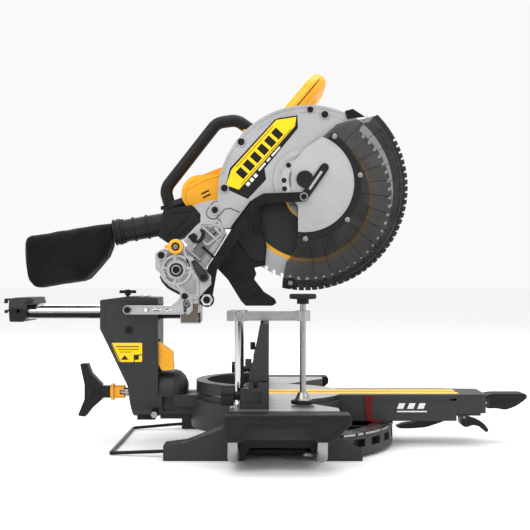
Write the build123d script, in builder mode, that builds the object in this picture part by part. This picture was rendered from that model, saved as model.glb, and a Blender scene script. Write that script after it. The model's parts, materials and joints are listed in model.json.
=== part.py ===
from build123d import *
import os
from math import atan2, cos, degrees, radians, sin

# Sliding compound mitre saw with a work clamp and pull-out end supports, in millimetres.
# X points forward to the operator, Y to the operator's right, Z up.
# The origin is where the mitre axis meets the bench, and the fence face lies in X = 0.
os.makedirs("parts", exist_ok=True)

# Driving dimensions
TABLE_Z = 90.6          # top of the table, and height of the bevel axis
DISC_R = 132.0          # turntable disc
BENCH_X, BENCH_Y = 130.0, 165.0     # bench bolt holes, from the centre
BENCH_HOLE_R = 4.5
FOOT_OUT, FOOT_IN = 189.0, 145.0    # outer and inner faces of the feet
WING_Y = 262.0          # half width of the base casting
TUBE_R, TUBE_Z = 9.0, 22.0          # support tubes
TUBE_XS = (-54.6, 80.9)
RIM_R, RIM_ARC = 223.0, 58.0        # mitre scale rim: radius, and half its angle
ARM_END, ARM_HALF = 386.0, 52.0     # mitre arm: front end, half width
ARM_LOW = 44.4          # underside of the mitre arm
FENCE_LOW_Z, FENCE_TOP_Z = 132.0, 224.0
FENCE_END = 240.0       # outer end of the fixed fence
TRUNNION_R = 41.0
HOUSING_X = -197.0      # front face of the bevel housing
HOUSING_HALF = 44.0
RAIL_R, RAIL_Y, RAIL_Z = 12.0, 26.0, 236.0
PIVOT_X, PIVOT_Z = -162.6, 311.4    # chop pivot
BLADE_X, BLADE_Z = 71.0, 444.7      # blade centre with the head up
BLADE_R, BLADE_T = 152.5, 2.2
GUARD_R = 163.0         # upper guard
GUARD_X, GUARD_Z = 64.0, 473.4      # lower guard pivot
RIM_X, RIM_Z = 64.0, 459.0          # centre of the lower guard's rim
LOWER_R = 184.0
LINK_X, LINK_Z = -110.0, 258.4      # lower end of the guard link
LINK_PIN_X, LINK_PIN_Z = 62.0, 441.4
MOTOR_X, MOTOR_Z = -128.0, 454.0    # motor axis
POST_X, POST_Y = -48.0, -190.0      # clamp post
SCREW_X = 55.0          # clamp screw
SPIN_FIT = 0.06         # radial clearance of a running fit


def side(y):
    """A plane at Y = y that faces the left side; its own axes are X and Z."""
    return Plane.XZ.offset(-y)


def front(x):
    """A plane at X = x that faces forward; its own axes are Y and Z."""
    return Plane.YZ.offset(x)


def save(part, name):
    """Label one finished piece and write it."""
    part.label = name
    export_step(part, f"parts/{name}.step")


def slab(outline, y_low, y_high, radius=0.0):
    """Extrude an X-Z outline between two Y values into the part being built."""
    with BuildSketch(side(y_high)) as sketch:
        Polygon(*outline, align=None)
        if radius:
            fillet(sketch.vertices(), radius)
    extrude(sketch.sketch, amount=y_high - y_low)


def disc(x, z, radius, y_low, y_high, mode=Mode.ADD):
    """A round boss or hole along Y."""
    with BuildSketch(side(y_high)) as sketch:
        with Locations((x, z)):
            Circle(radius)
    extrude(sketch.sketch, amount=y_high - y_low, mode=mode)


def ring(x, z, outer, inner, y_low, y_high):
    """A ring about a Y axis."""
    with BuildSketch(side(y_high)) as sketch:
        with Locations((x, z)):
            Circle(outer)
            Circle(inner, mode=Mode.SUBTRACT)
    extrude(sketch.sketch, amount=y_high - y_low)


def rod(y, z, radius, x_low, x_high, mode=Mode.ADD):
    """A round boss or hole along X."""
    with BuildSketch(front(x_low)) as sketch:
        with Locations((y, z)):
            Circle(radius)
    extrude(sketch.sketch, amount=x_high - x_low, mode=mode)


def column(x, y, radius, z_low, z_high, mode=Mode.ADD):
    """A round boss or hole along Z."""
    with BuildSketch(Plane.XY.offset(z_low)) as sketch:
        with Locations((x, y)):
            Circle(radius)
    extrude(sketch.sketch, amount=z_high - z_low, mode=mode)


def block(x_low, x_high, y_low, y_high, z_low, z_high, mode=Mode.ADD):
    """A rectangular block between limits."""
    with Locations(((x_low + x_high) / 2, (y_low + y_high) / 2, (z_low + z_high) / 2)):
        Box(x_high - x_low, y_high - y_low, z_high - z_low, mode=mode)


def bar(points, radius, bend):
    """A round bar swept along straight runs with rounded bends."""
    with BuildLine() as path:
        FilletPolyline(*points, radius=bend)
    with BuildSketch(Plane(origin=path.line @ 0, z_dir=path.line % 0)) as section:
        Circle(radius)
    sweep(section.sketch, path=path.line)


def sector(outer, inner, half_angle, centre_angle=0.0):
    """A flat ring sector about the origin, in the sketch being built."""
    start = centre_angle - half_angle
    with BuildLine() as outline:
        outer_arc = CenterArc((0, 0), outer, start, 2 * half_angle)
        inner_arc = CenterArc((0, 0), inner, start, 2 * half_angle)
        Line(outer_arc @ 0, inner_arc @ 0)
        Line(outer_arc @ 1, inner_arc @ 1)
    make_face(outline.edges())


def polar(centre, radius, angle):
    """A point at an angle in degrees, in the plane of the blade."""
    return (centre[0] + radius * cos(radians(angle)), centre[1] + radius * sin(radians(angle)))


# ---------------------------------------------------------------- base
FOOT_PROFILE = [(-172, 0), (-172, 24), (-135, 29), (-75, 53), (-62, 72), (38, 72), (47, 37), (118, 36),
                (152, 17), (152, 0), (80, 0), (67, 21), (-31, 21), (-42, 0)]
WING_OUTLINE = [(-62, 150), (-62, WING_Y), (110, WING_Y), (110, 225), (45, 139), (35, 127), (35, 100),
                (-45, 100), (-45, 150)]
FLOOR_LOW, FLOOR_TOP, RIM_TOP = 5.0, 12.0, 38.0

with BuildPart() as base_casting:
    # Side pedestals: two feet each, arched between them
    slab(FOOT_PROFILE, FOOT_IN, FOOT_OUT)
    # Table wing with its end wall and ribs
    with BuildSketch(Plane.XY.offset(78)):
        Polygon(*WING_OUTLINE, align=None)
    extrude(amount=TABLE_Z - 78)
    block(-62, 110, 246, WING_Y, 46, TABLE_Z)
    for rib_x, rib_start in ((-56, 150), (20, 150), (70, 188)):
        block(rib_x - 4, rib_x + 4, rib_start, 250, 50, 80)
    column(POST_X, -POST_Y, 14, 56, 80)
    block(-62, 40, FOOT_IN, FOOT_IN + 8, 40, 80)
    mirror(about=Plane.XZ)
    # Floor plate, mitre scale rim and the spokes that join them to the hub
    with BuildSketch(Plane.XY.offset(FLOOR_LOW)):
        Circle(120)
        Rectangle(120, 2 * FOOT_IN + 20)
        sector(RIM_R, 60, RIM_ARC)
        for spoke_angle in (-44, -16, 16, 44):
            sector(190, 90, 9, spoke_angle)
        with GridLocations(0, 150, 1, 2):
            Circle(24, mode=Mode.SUBTRACT)
    extrude(amount=FLOOR_TOP - FLOOR_LOW)
    with BuildSketch(Plane.XY.offset(FLOOR_LOW)):
        sector(RIM_R, 203, RIM_ARC)
    extrude(amount=RIM_TOP - FLOOR_LOW)
    for slot_angle in range(-48, 49, 12):
        with BuildSketch(Plane.XY.offset(18)):
            sector(RIM_R + 4, 210, 3.6, slot_angle)
        extrude(amount=13, mode=Mode.SUBTRACT)
    for spoke_angle in (-30, 0, 30):
        with BuildSketch(Plane.XY.offset(FLOOR_TOP)):
            with Locations(Rot(0, 0, spoke_angle) * Pos(119, 0)):
                Rectangle(178, 10)
        extrude(amount=16)
    column(0, 0, 34, FLOOR_LOW, 46)
    column(0, 0, 8.3, 0, 60, mode=Mode.SUBTRACT)
    # Front feet of the rim
    for sign in (-1, 1):
        block(100, 150, sign * 155 - 20, sign * 155 + 20, FLOOR_LOW, 15)
    # Clearance for the turntable, and holes for the bench, tubes and clamp post
    column(0, 0, DISC_R + 1, 83, 100, mode=Mode.SUBTRACT)
    column(0, 0, 142, 30, 83, mode=Mode.SUBTRACT)
    for x in (-BENCH_X, BENCH_X):
        for y in (-BENCH_Y, BENCH_Y):
            column(x, y, BENCH_HOLE_R, -1, 60, mode=Mode.SUBTRACT)
    for tube_x in TUBE_XS:
        with BuildSketch(side(200)):
            with Locations((tube_x, TUBE_Z)):
                Circle(TUBE_R + SPIN_FIT)
        extrude(amount=400, mode=Mode.SUBTRACT)
    for y in (-POST_Y, POST_Y):
        column(POST_X, y, 7.36, 60, 100, mode=Mode.SUBTRACT)
save(base_casting.part, "base_casting")

NOTCH_ANGLES = (-50, -45, -31.6, -22.5, -15, 0, 15, 22.5, 31.6, 45, 50)
with BuildPart() as detent_plate:
    # Steel mitre scale with a stop notch at each common angle
    with BuildSketch(Plane.XY.offset(RIM_TOP)):
        sector(RIM_R + 1, 188, RIM_ARC - 1)
        for notch_angle in NOTCH_ANGLES:
            with Locations(Rot(0, 0, notch_angle) * Pos(RIM_R, 0)):
                Rectangle(10, 6, mode=Mode.SUBTRACT)
    extrude(amount=3)
save(detent_plate.part, "detent_plate")

FENCE_INNER = [(52, TABLE_Z), (FENCE_END, TABLE_Z), (FENCE_END, FENCE_LOW_Z), (105, FENCE_LOW_Z), (52, 96)]
KNOB_Y = 222.0          # fence knob
KNOB_Z = 110.0
with BuildPart() as fence_casting:
    # Fixed fence: an upright face on a bolted flange, with a grooved top rail
    with BuildSketch(front(-12)):
        Polygon(*FENCE_INNER, align=None)
    extrude(amount=12)
    block(-45, 0, 52, FENCE_END, TABLE_Z, 98)
    block(-32, 0, 105, FENCE_END, 117, FENCE_LOW_Z)
    for rib_y in (130, 165, 200):
        block(-36, 0, rib_y - 4, rib_y + 4, TABLE_Z, 118)
    block(-45, 0, KNOB_Y - 13, KNOB_Y + 13, TABLE_Z, 122)
    block(-24.4, -17.6, 100, FENCE_END + 1, 123.6, FENCE_LOW_Z + 1, mode=Mode.SUBTRACT)
    rod(KNOB_Y, KNOB_Z, 4.06, -60, -8, mode=Mode.SUBTRACT)
    column(-28, 110, 3.5, 80, 100, mode=Mode.SUBTRACT)
    column(-28, 183, 3.5, 80, 100, mode=Mode.SUBTRACT)
    block(-46, -38, 172, 206, TABLE_Z - 1, 99, mode=Mode.SUBTRACT)
    mirror(about=Plane.XZ)

with BuildPart() as fence_bow:
    # Bow that joins the two halves behind the turntable
    with BuildSketch(Plane.XY.offset(94)):
        sector(DISC_R, 112, 72, 180)
    extrude(amount=20)
    add(fence_casting.part, mode=Mode.SUBTRACT)
save(Compound(children=[fence_casting.part, fence_bow.part]), "fence_casting")

with BuildPart() as base_bolts:
    # Mitre pivot bolt, and the bolts that hold the fence down
    column(0, 0, 8, 20, 78)
    column(0, 0, 13, 76, 81)
    for y in (-183, -110, 110, 183):
        column(-28, y, 3.5, 91, 98)
        column(-28, y, 6, 98, 103)
        with BuildSketch(Plane.XY.offset(103)):
            with Locations((-28, y)):
                RegularPolygon(3, 6)
        extrude(amount=-3, mode=Mode.SUBTRACT)
save(base_bolts.part, "base_bolts")

WIRE_R, STAND_Y = 3.0, 136.0
with BuildPart() as rear_stand:
    # Wire loop on the floor that keeps the saw from tipping back
    bar([(-172.3, -STAND_Y - 14, 9), (-190, -STAND_Y - 13, 8), (-266, -STAND_Y, 3.1),
         (-266, STAND_Y, 3.1), (-190, STAND_Y + 13, 8), (-172.3, STAND_Y + 14, 9)], WIRE_R, 6)
save(rear_stand.part, "rear_stand")

# ---------------------------------------------------------------- end supports
SUPPORT_OUTLINE = [(-68, TABLE_Z), (125, TABLE_Z), (125, 77), (96, 49), (71, 49), (60, 69), (-28, 69),
                   (-40, 49), (-68, 49)]
for word, sign in (("left", -1), ("right", 1)):
    low, high = sorted((sign * 267, sign * 305))
    with BuildPart() as end_support:
        # Moulded end rest with a hand arch, flush with the table
        slab(SUPPORT_OUTLINE, low, high, 6)
        chamfer(end_support.faces().sort_by(Axis.Z)[-1].edges(), 1.5)
    save(end_support.part, f"support_{word}")
    with BuildPart() as support_tubes:
        # Two tubes that slide in the feet and turn up into the rest
        for tube_x in TUBE_XS:
            bar([(tube_x, sign * 72, TUBE_Z), (tube_x, sign * 286, TUBE_Z), (tube_x, sign * 286, 49)],
                TUBE_R, 14)
    save(support_tubes.part, f"tubes_{word}")

# ---------------------------------------------------------------- work clamp
ARM_Z = 236.0
with BuildPart() as clamp_post:
    column(POST_X, POST_Y, 7.3, 62, 234)
    chamfer(clamp_post.edges().sort_by(Axis.Z)[0], 1.5)
save(clamp_post.part, "clamp_post")

with BuildPart() as clamp_arm:
    # Arm between two round eyes, with the set screw boss at the post
    slab([(-60, 228), (58, 228), (58, 243), (-60, 243)], POST_Y - 8, POST_Y + 8)
    column(POST_X, POST_Y, 14, 227.5, 245)
    block(-68, POST_X, POST_Y - 11, POST_Y + 11, 227.5, 244)
    column(SCREW_X, POST_Y, 12, 227.5, 244)
    disc(POST_X, ARM_Z + 1, 5, POST_Y - 15, POST_Y - 6)
    column(POST_X, POST_Y, 7.3, 220, 234, mode=Mode.SUBTRACT)
    column(SCREW_X, POST_Y, 4.9 + SPIN_FIT, 220, 250, mode=Mode.SUBTRACT)
save(clamp_arm.part, "clamp_arm")

with BuildPart() as clamp_screw:
    column(SCREW_X, POST_Y, 4.9, 103, 255)
save(clamp_screw.part, "clamp_screw")

with BuildPart() as clamp_knob:
    column(SCREW_X, POST_Y, 9.7, 255, 263.5)
    column(SCREW_X, POST_Y, 21, 263, 271)
    with Locations((SCREW_X, POST_Y, 267)):
        with PolarLocations(23.5, 12):
            Cylinder(3.5, 10, mode=Mode.SUBTRACT)
    fillet(clamp_knob.faces().sort_by(Axis.Z)[-1].edges(), 1)
save(clamp_knob.part, "clamp_knob")

with BuildPart() as clamp_foot:
    # Swivel cone over a separate pad
    with BuildSketch(side(POST_Y)):
        Polygon((SCREW_X, 99), (SCREW_X + 14, 99), (SCREW_X + 13, 101), (SCREW_X + 8, 112), (SCREW_X, 112),
                align=None)
    revolve(axis=Axis((SCREW_X, POST_Y, 0), (0, 0, 1)))
    column(SCREW_X, POST_Y, 4.9 + SPIN_FIT, 102.7, 120, mode=Mode.SUBTRACT)

with BuildPart() as clamp_pad:
    column(SCREW_X, POST_Y, 19.5, 93, 99)
    chamfer(clamp_pad.edges().sort_by(Axis.Z)[-1], 1.5)
save(Compound(children=[clamp_foot.part, clamp_pad.part]), "clamp_foot")

# ---------------------------------------------------------------- sliding fences
SLIDE_OUTLINE = [(60, 132.3), (225, 132.3), (225, FENCE_TOP_Z), (206, FENCE_TOP_Z), (60, 142)]
for word, sign in (("left", -1), ("right", 1)):
    with BuildPart() as sliding_fence:
        # Tall fence half: a plate, a thicker foot and a tongue in the groove
        with BuildSketch(front(-11)):
            Polygon(*SLIDE_OUTLINE, align=None)
        extrude(amount=11)
        slab([(-32, 132.3), (-11, 132.3), (-11, FENCE_TOP_Z), (-14, FENCE_TOP_Z), (-25, 168), (-32, 140)],
             206, 225)
        slab([(-32, 132.3), (-11, 132.3), (-11, 150), (-28, 146)], 108, 225)
        block(-24, -18, 108, 225, 124, 134)
        block(-38, -28, 200, 214, 152, 167)
        if sign < 0:
            mirror(about=Plane.XZ, mode=Mode.REPLACE)
    save(sliding_fence.part, f"fence_{word}")
    with BuildPart() as fence_knob:
        # Lobed knob with a stud in the fixed fence
        with BuildSketch(front(-76)):
            with Locations((sign * KNOB_Y, KNOB_Z)):
                Circle(16)
                with PolarLocations(18.5, 6):
                    Circle(5, mode=Mode.SUBTRACT)
        extrude(amount=20)
        rod(sign * KNOB_Y, KNOB_Z, 7, -57, -46)
        rod(sign * KNOB_Y, KNOB_Z, 4, -47, -12)
    save(fence_knob.part, f"fence_knob_{word}")

# ---------------------------------------------------------------- turntable and mitre arm
KERF_END, KERF_START = 334.0, -104.0
HANDLE_X, HANDLE_Z = 390.0, 73.0    # hinge of the front handle
LEVER_X, LEVER_Z = 352.0, 46.5      # hinge of the detent lever
with BuildPart() as turntable:
    # Disc and skirt
    column(0, 0, DISC_R, 82, TABLE_Z)
    column(0, 0, 140.5, 32, 82)
    column(0, 0, 128, 30, 76, mode=Mode.SUBTRACT)
    column(0, 0, 30, 46.4, 84)
    # Mitre arm with its shallow front end and pod
    with BuildSketch(Plane.XY.offset(ARM_LOW)):
        Polygon((60, -ARM_HALF), (320, -ARM_HALF), (332, -50), (332, 50), (320, ARM_HALF), (60, ARM_HALF),
                align=None)
    extrude(amount=TABLE_Z - ARM_LOW)
    with BuildSketch(Plane.XY.offset(57)):
        Polygon((320, -51), (ARM_END, -46), (ARM_END, 46), (320, 51), align=None)
    extrude(amount=TABLE_Z - 57)
    block(318, 380, -26, 26, 50, 60)
    # Underside hollow, so that the arm is a channel
    block(145, 318, -46, 46, 40, 80, mode=Mode.SUBTRACT)
    # Rear neck, stepped so that it swings over the feet, and the trunnion about the bevel axis
    for half_width, underside in ((14, 43), (36, 55), (44, 69)):
        block(HOUSING_X + 0.5, -100, -half_width, half_width, underside, TABLE_Z - 1)
    with BuildSketch(side(0)):
        Polygon((HOUSING_X + 0.5, TABLE_Z), (HOUSING_X + 0.5, TABLE_Z + TRUNNION_R), (-170, TABLE_Z + TRUNNION_R),
                (-160, TABLE_Z + 38), (-152, TABLE_Z + 30), (-147, TABLE_Z + 20), (-147, TABLE_Z), align=None)
    revolve(axis=Axis((0, 0, TABLE_Z), (1, 0, 0)))
    for low, high in ((-60, -32), (32, 60)):
        block(-190, -168, low, high, 60, 87, mode=Mode.SUBTRACT)
    # Kerf channel and the seat of the kerf plates
    block(KERF_START, KERF_END, -26, 26, 76.5, 95, mode=Mode.SUBTRACT)
    block(KERF_START - 6, KERF_END + 6, -33, 33, TABLE_Z - 3, 95, mode=Mode.SUBTRACT)
    column(0, 0, 14, 70, 77, mode=Mode.SUBTRACT)
    column(0, 0, 8 + SPIN_FIT, 40, 90, mode=Mode.SUBTRACT)
    block(320, 332, -60, 60, 80, 84, mode=Mode.SUBTRACT)
    rod(0, TABLE_Z, 8, -230, -120, mode=Mode.SUBTRACT)
    fillet(turntable.edges().filter_by(Axis.Z).group_by(Axis.X)[-1], 8)
    # Lugs of the front handle and ears of the detent lever
    for sign in (-1, 1):
        lug_low, lug_high = sorted((sign * 20.6, sign * 25))
        block(ARM_END - 2, HANDLE_X + 5, lug_low, lug_high, HANDLE_Z - 7, HANDLE_Z + 7)
        ear_low, ear_high = sorted((sign * 15.5, sign * 19))
        block(LEVER_X - 5, LEVER_X + 5, ear_low, ear_high, LEVER_Z - 4.5, 51)
    disc(HANDLE_X, HANDLE_Z, 3 + SPIN_FIT, -30, 30, mode=Mode.SUBTRACT)
    disc(LEVER_X, LEVER_Z, 2.5 + SPIN_FIT, -30, 30, mode=Mode.SUBTRACT)
save(turntable.part, "turntable")

with BuildPart() as kerf_plates:
    # Two throat plates either side of the blade slot
    for low, high in ((-33, -6), (6, 33)):
        block(KERF_START - 5.5, KERF_END + 5.5, low, high, TABLE_Z - 3, TABLE_Z)
    for x in (-80, 20, 120, 220, 320):
        for y in (-29, 29):
            column(x, y, 2.2, 85, 95, mode=Mode.SUBTRACT)
save(kerf_plates.part, "kerf_plates")

with BuildPart() as table_bolts:
    # Bevel shaft in the trunnion, and the kerf plate screws
    rod(0, TABLE_Z, 8, -330, -146)
    for x in (-80, 20, 120, 220, 320):
        for y in (-29, 29):
            column(x, y, 2.2, TABLE_Z - 3, TABLE_Z - 0.4)
save(table_bolts.part, "table_bolts")

with BuildPart() as mitre_pointer:
    # Pointer on the arm's left side, bent out over the scale
    slab([(168, 89), (184, 89), (181, 52), (197, 44), (195, 42.3), (172, 45)], -ARM_HALF - 3, -ARM_HALF)
save(mitre_pointer.part, "mitre_pointer")

with BuildPart() as mitre_handle:
    # Broad grip with a scooped underside
    slab([(389.5, 84), (402, 89), (462, 89), (465, 82), (446, 66), (424, 58.5), (406, 62), (389.5, 62)],
         -20, 20, 3)
    disc(HANDLE_X, HANDLE_Z, 3, -24, 24)
save(mitre_handle.part, "mitre_handle")

with BuildPart() as detent_lever:
    # Finger lever under the arm's end
    slab([(346, 48), (357, 48), (385, 41.5), (371, 36), (398, 24), (393, 17), (368, 30), (346, 40)],
         -15, 15, 2)
    disc(LEVER_X, LEVER_Z, 2.5, -18.5, 18.5)
save(detent_lever.part, "detent_lever")

with BuildPart() as detent_pawl:
    # Spring blade that drops into the scale notches
    slab([(229, 27.5), (237, 24), (284, 26), (318, 37), (318, 43), (296, 43.5), (262, 36), (236, 31)], -11, 11)
save(detent_pawl.part, "detent_pawl")

# ---------------------------------------------------------------- bevel housing
HOUSING_OUTLINE = [(-300, 258), (-250, 264.5), (HOUSING_X, 262.5), (HOUSING_X, 47), (-244, 48),
                   (-251, 105), (-300, 207)]
FLIP_X, FLIP_Z = -203.0, 178.0      # hinge of the flip stop
with BuildPart() as bevel_housing:
    slab(HOUSING_OUTLINE, -HOUSING_HALF, HOUSING_HALF, 3)
    # Round underside about the bevel axis
    with BuildSketch(front(-310)) as corners:
        with Locations((0, TABLE_Z - 35)):
            Rectangle(120, 70)
        with Locations((0, TABLE_Z)):
            Circle(HOUSING_HALF, mode=Mode.SUBTRACT)
    extrude(corners.sketch, amount=120, mode=Mode.SUBTRACT)
    # Pivot hole, rail bores, lock screw hole and the front recess beside the bevel stop
    rod(0, TABLE_Z, 8 + SPIN_FIT, -320, -190, mode=Mode.SUBTRACT)
    for y in (-RAIL_Y, RAIL_Y):
        rod(y, RAIL_Z, 15, -320, -190, mode=Mode.SUBTRACT)
    column(-257, 0, 3.06, 250, 280, mode=Mode.SUBTRACT)
    block(-215, -190, -40, -10, 128, 188, mode=Mode.SUBTRACT)
    block(-285, -212, -28, 28, 120, 218, mode=Mode.SUBTRACT)
    rod(0, 170, 20, -330, -280, mode=Mode.SUBTRACT)
    disc(FLIP_X, FLIP_Z, 2.5 + SPIN_FIT, -43, -6, mode=Mode.SUBTRACT)
save(bevel_housing.part, "bevel_housing")

with BuildPart() as rail_bushings:
    # A bearing ring at each end of each rail bore
    for y in (-RAIL_Y, RAIL_Y):
        for x in (-299, HOUSING_X - 22):
            rod(y, RAIL_Z, 15, x, x + 20)
            rod(y, RAIL_Z, RAIL_R + SPIN_FIT, x - 1, x + 21, mode=Mode.SUBTRACT)
save(rail_bushings.part, "rail_bushings")

with BuildPart() as housing_bolts:
    # Side screw, bevel adjusting bolt and the small foot bracket
    disc(-249, 205, 5, -HOUSING_HALF - 3, -HOUSING_HALF)
    disc(-204, 54, 6, -HOUSING_HALF + 5, -20)
    block(-238, -206, -14, 14, 41, 52)
    add(bevel_housing.part, mode=Mode.SUBTRACT)
save(housing_bolts.part, "housing_bolts")

with BuildPart() as rail_lock_knob:
    # Wing head on a screw that bears on the rails
    column(-257, 0, 3, 252, 270)
    column(-257, 0, 5.5, 266, 270)
    block(-272, -242, -4, 4, 269.5, 275)
    fillet(rail_lock_knob.edges().filter_by(Axis.Z).group_by(Axis.X)[0], 2)
    fillet(rail_lock_knob.edges().filter_by(Axis.Z).group_by(Axis.X)[-1], 2)
save(rail_lock_knob.part, "rail_lock_knob")

with BuildPart() as bevel_knob:
    # Two-winged clamp knob on the bevel shaft
    slab([(-342, 142), (-329, 142), (-322, 124), (-303, 104), (-303, 77), (-322, 60), (-333, 46),
          (-346, 48), (-334, 78), (-334, 104)], -11, 11, 2)
    rod(0, TABLE_Z, 11.6, -305, -287)
    rod(0, TABLE_Z, 8 + SPIN_FIT, -330.5, -280, mode=Mode.SUBTRACT)
save(bevel_knob.part, "bevel_knob")

with BuildPart() as bevel_collar:
    # Flanged stop collar between the knob and the housing
    rod(0, TABLE_Z, 15.5, -286.5, -281)
    rod(0, TABLE_Z, 12.3, -282, -262)
    block(-270, -261, -20, 20, TABLE_Z - 4, TABLE_Z + 4, mode=Mode.SUBTRACT)
    rod(0, TABLE_Z, 8 + SPIN_FIT, -300, -250, mode=Mode.SUBTRACT)
save(bevel_collar.part, "bevel_collar")

with BuildPart() as bevel_stop:
    # Flip stop paddle on the front of the housing
    slab([(-208, 183), (-197, 183), (-172, 166), (-170, 134), (-190, 132), (-207, 158)], -38, -14, 2)
    disc(FLIP_X, FLIP_Z, 2.5, -42, -8)
save(bevel_stop.part, "bevel_stop")

# ---------------------------------------------------------------- carriage on the slide rails
with BuildPart() as slide_rails:
    for y in (-RAIL_Y, RAIL_Y):
        rod(y, RAIL_Z, RAIL_R, -458, -130)
        rod(y, RAIL_Z, RAIL_R - 3, -459, -160, mode=Mode.SUBTRACT)
save(slide_rails.part, "slide_rails")

with BuildPart() as rail_end_cap:
    # Bridge across the rear ends of the rails, with a cable prong on top
    block(-461, -416, -48, 48, 219, 263)
    block(-470, -461, -48, -30, 249, 262)
    for y in (-RAIL_Y, RAIL_Y):
        rod(y, RAIL_Z, RAIL_R, -458, -400, mode=Mode.SUBTRACT)
    block(-428, -410, -60, 60, 249, 270, mode=Mode.SUBTRACT)
    block(-450, -410, -10, 10, 210, 270, mode=Mode.SUBTRACT)
save(rail_end_cap.part, "rail_end_cap")

CHEEK_IN, CHEEK_OUT = 47.0, 58.0
CHEEK_OUTLINE = [(-200, 340), (-200, 313), (-190, 304), (-185, 293), (-177, 284), (-157, 272),
                 (-155, 238), (-125, 238), (-124, 262), (-102, 286), (-102, 300), (-136, 334), (-186, 349)]
BLOCK_FRONT = -125.0
with BuildPart() as carriage:
    # Two cheeks on a block that clamps the front of the rails
    for low, high in ((-CHEEK_OUT, -CHEEK_IN), (CHEEK_IN, CHEEK_OUT)):
        slab(CHEEK_OUTLINE, low, high, 3)
        disc(PIVOT_X, PIVOT_Z, 30, low, high)
    disc(PIVOT_X, PIVOT_Z, 16, -64, -CHEEK_OUT)
    ring(PIVOT_X, PIVOT_Z, 27, 23, -61, -CHEEK_OUT)
    disc(-189, 337, 9, -62, -CHEEK_OUT)
    disc(-164, 352, 14, -CHEEK_OUT, -CHEEK_IN)
    block(-156, BLOCK_FRONT, -CHEEK_OUT, CHEEK_OUT, 217, 256)
    disc(LINK_X, LINK_Z, 9, -38, -24)
    block(-130, LINK_X, -38, -24, LINK_Z - 9, LINK_Z - 3)
    disc(-148, 265, 3, -CHEEK_OUT - 2, -CHEEK_OUT, mode=Mode.SUBTRACT)
    for y in (-RAIL_Y, RAIL_Y):
        rod(y, RAIL_Z, RAIL_R, -160, -130, mode=Mode.SUBTRACT)
    disc(PIVOT_X, PIVOT_Z, 10, -70, 70, mode=Mode.SUBTRACT)
    disc(LINK_X, LINK_Z, 4, -40, -20, mode=Mode.SUBTRACT)
    disc(-164, 352, 5 + SPIN_FIT, -70, -30, mode=Mode.SUBTRACT)
    disc(-115, 299, 4 + SPIN_FIT, -70, -40, mode=Mode.SUBTRACT)
save(carriage.part, "carriage")

STRAP_OUTLINE = [(-249, 249), (-249, 233), (-140, 233), (-134, 240), (-134, 262), (-142, 273), (-152, 273),
                 (-160, 258), (-172, 249)]
with BuildPart() as rail_strap:
    # Flat bracket from the cheek back along the housing, with slots and a keyhole
    slab(STRAP_OUTLINE, -61, -CHEEK_OUT, 2)
    disc(-249, 241, 8, -61, -CHEEK_OUT)
    disc(-214, 241, 3.5, -70, -50, mode=Mode.SUBTRACT)
    disc(-143, 250, 5, -70, -50, mode=Mode.SUBTRACT)
    with BuildSketch(side(-50)):
        with Locations((-197, 241), (-178, 241)):
            SlotOverall(13, 5)
    extrude(amount=20, mode=Mode.SUBTRACT)
    with BuildSketch(side(-50)):
        with Locations((-147, 241)):
            SlotOverall(16, 5, rotation=80)
    extrude(amount=20, mode=Mode.SUBTRACT)
save(rail_strap.part, "rail_strap")

with BuildPart() as carriage_bolts:
    # Chop pivot shaft, link bolt with its nut, strap screws and cheek screw
    disc(PIVOT_X, PIVOT_Z, 10, -66, 60)
    disc(LINK_X, LINK_Z, 4, -46, -24)
    with BuildSketch(side(-44.6)):
        with Locations((LINK_X, LINK_Z)):
            RegularPolygon(9, 6)
    extrude(amount=6)
    for x, z in ((-249, 241), (-148, 265)):
        disc(x, z, 5, -64, -61)
    disc(-189, 337, 5.5, -65, -62)
    for z in (222, 232):
        rod(-52, z, 3.5, BLOCK_FRONT, BLOCK_FRONT + 3)
save(carriage_bolts.part, "carriage_bolts")

with BuildPart() as depth_stop:
    # Flip lever for limited-depth grooves
    disc(-115, 299, 9, -63, -58.4)
    slab([(-122, 294), (-108, 306), (-130, 329), (-137, 326)], -63, -58.4, 2)
    disc(-115, 299, 4, -66, -46)
save(depth_stop.part, "depth_stop")

with BuildPart() as lock_pin:
    # Head lock-down pin with its ring pull and thumb tab
    disc(-164, 352, 5, -64, -36)
    ring(-164, 352, 12.5, 5, -64, -59)
    block(-183, -174, -64, -59, 349, 355)
save(lock_pin.part, "lock_pin")

# ---------------------------------------------------------------- saw head
ARM_OUTLINE = [(-185, 302), (-146, 357), (-154, 364), (-123, 397), (-123, 412), (-136, 428), (-108, 436),
               (-60, 436), (-72, 386), (-113, 319), (-128, 294), (-160, 284)]
with BuildPart() as head_arm:
    # Cast arm from the pivot hub up to the guard
    slab(ARM_OUTLINE, -24, 24, 2)
    disc(PIVOT_X, PIVOT_Z, 27, -46.5, 46.5)
    disc(-97, 419, 11, -27, -20)
    disc(BLADE_X, BLADE_Z, GUARD_R, -60, 60, mode=Mode.SUBTRACT)
    disc(PIVOT_X, PIVOT_Z, 10 + SPIN_FIT, -60, 60, mode=Mode.SUBTRACT)
    arm_pocket = [(-136, 318), (-118, 330), (-96, 364), (-112, 378), (-132, 352)]
    with BuildSketch(side(-19)):
        Polygon(*arm_pocket, align=None)
    extrude(amount=8, mode=Mode.SUBTRACT)
save(head_arm.part, "head_arm")

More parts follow.
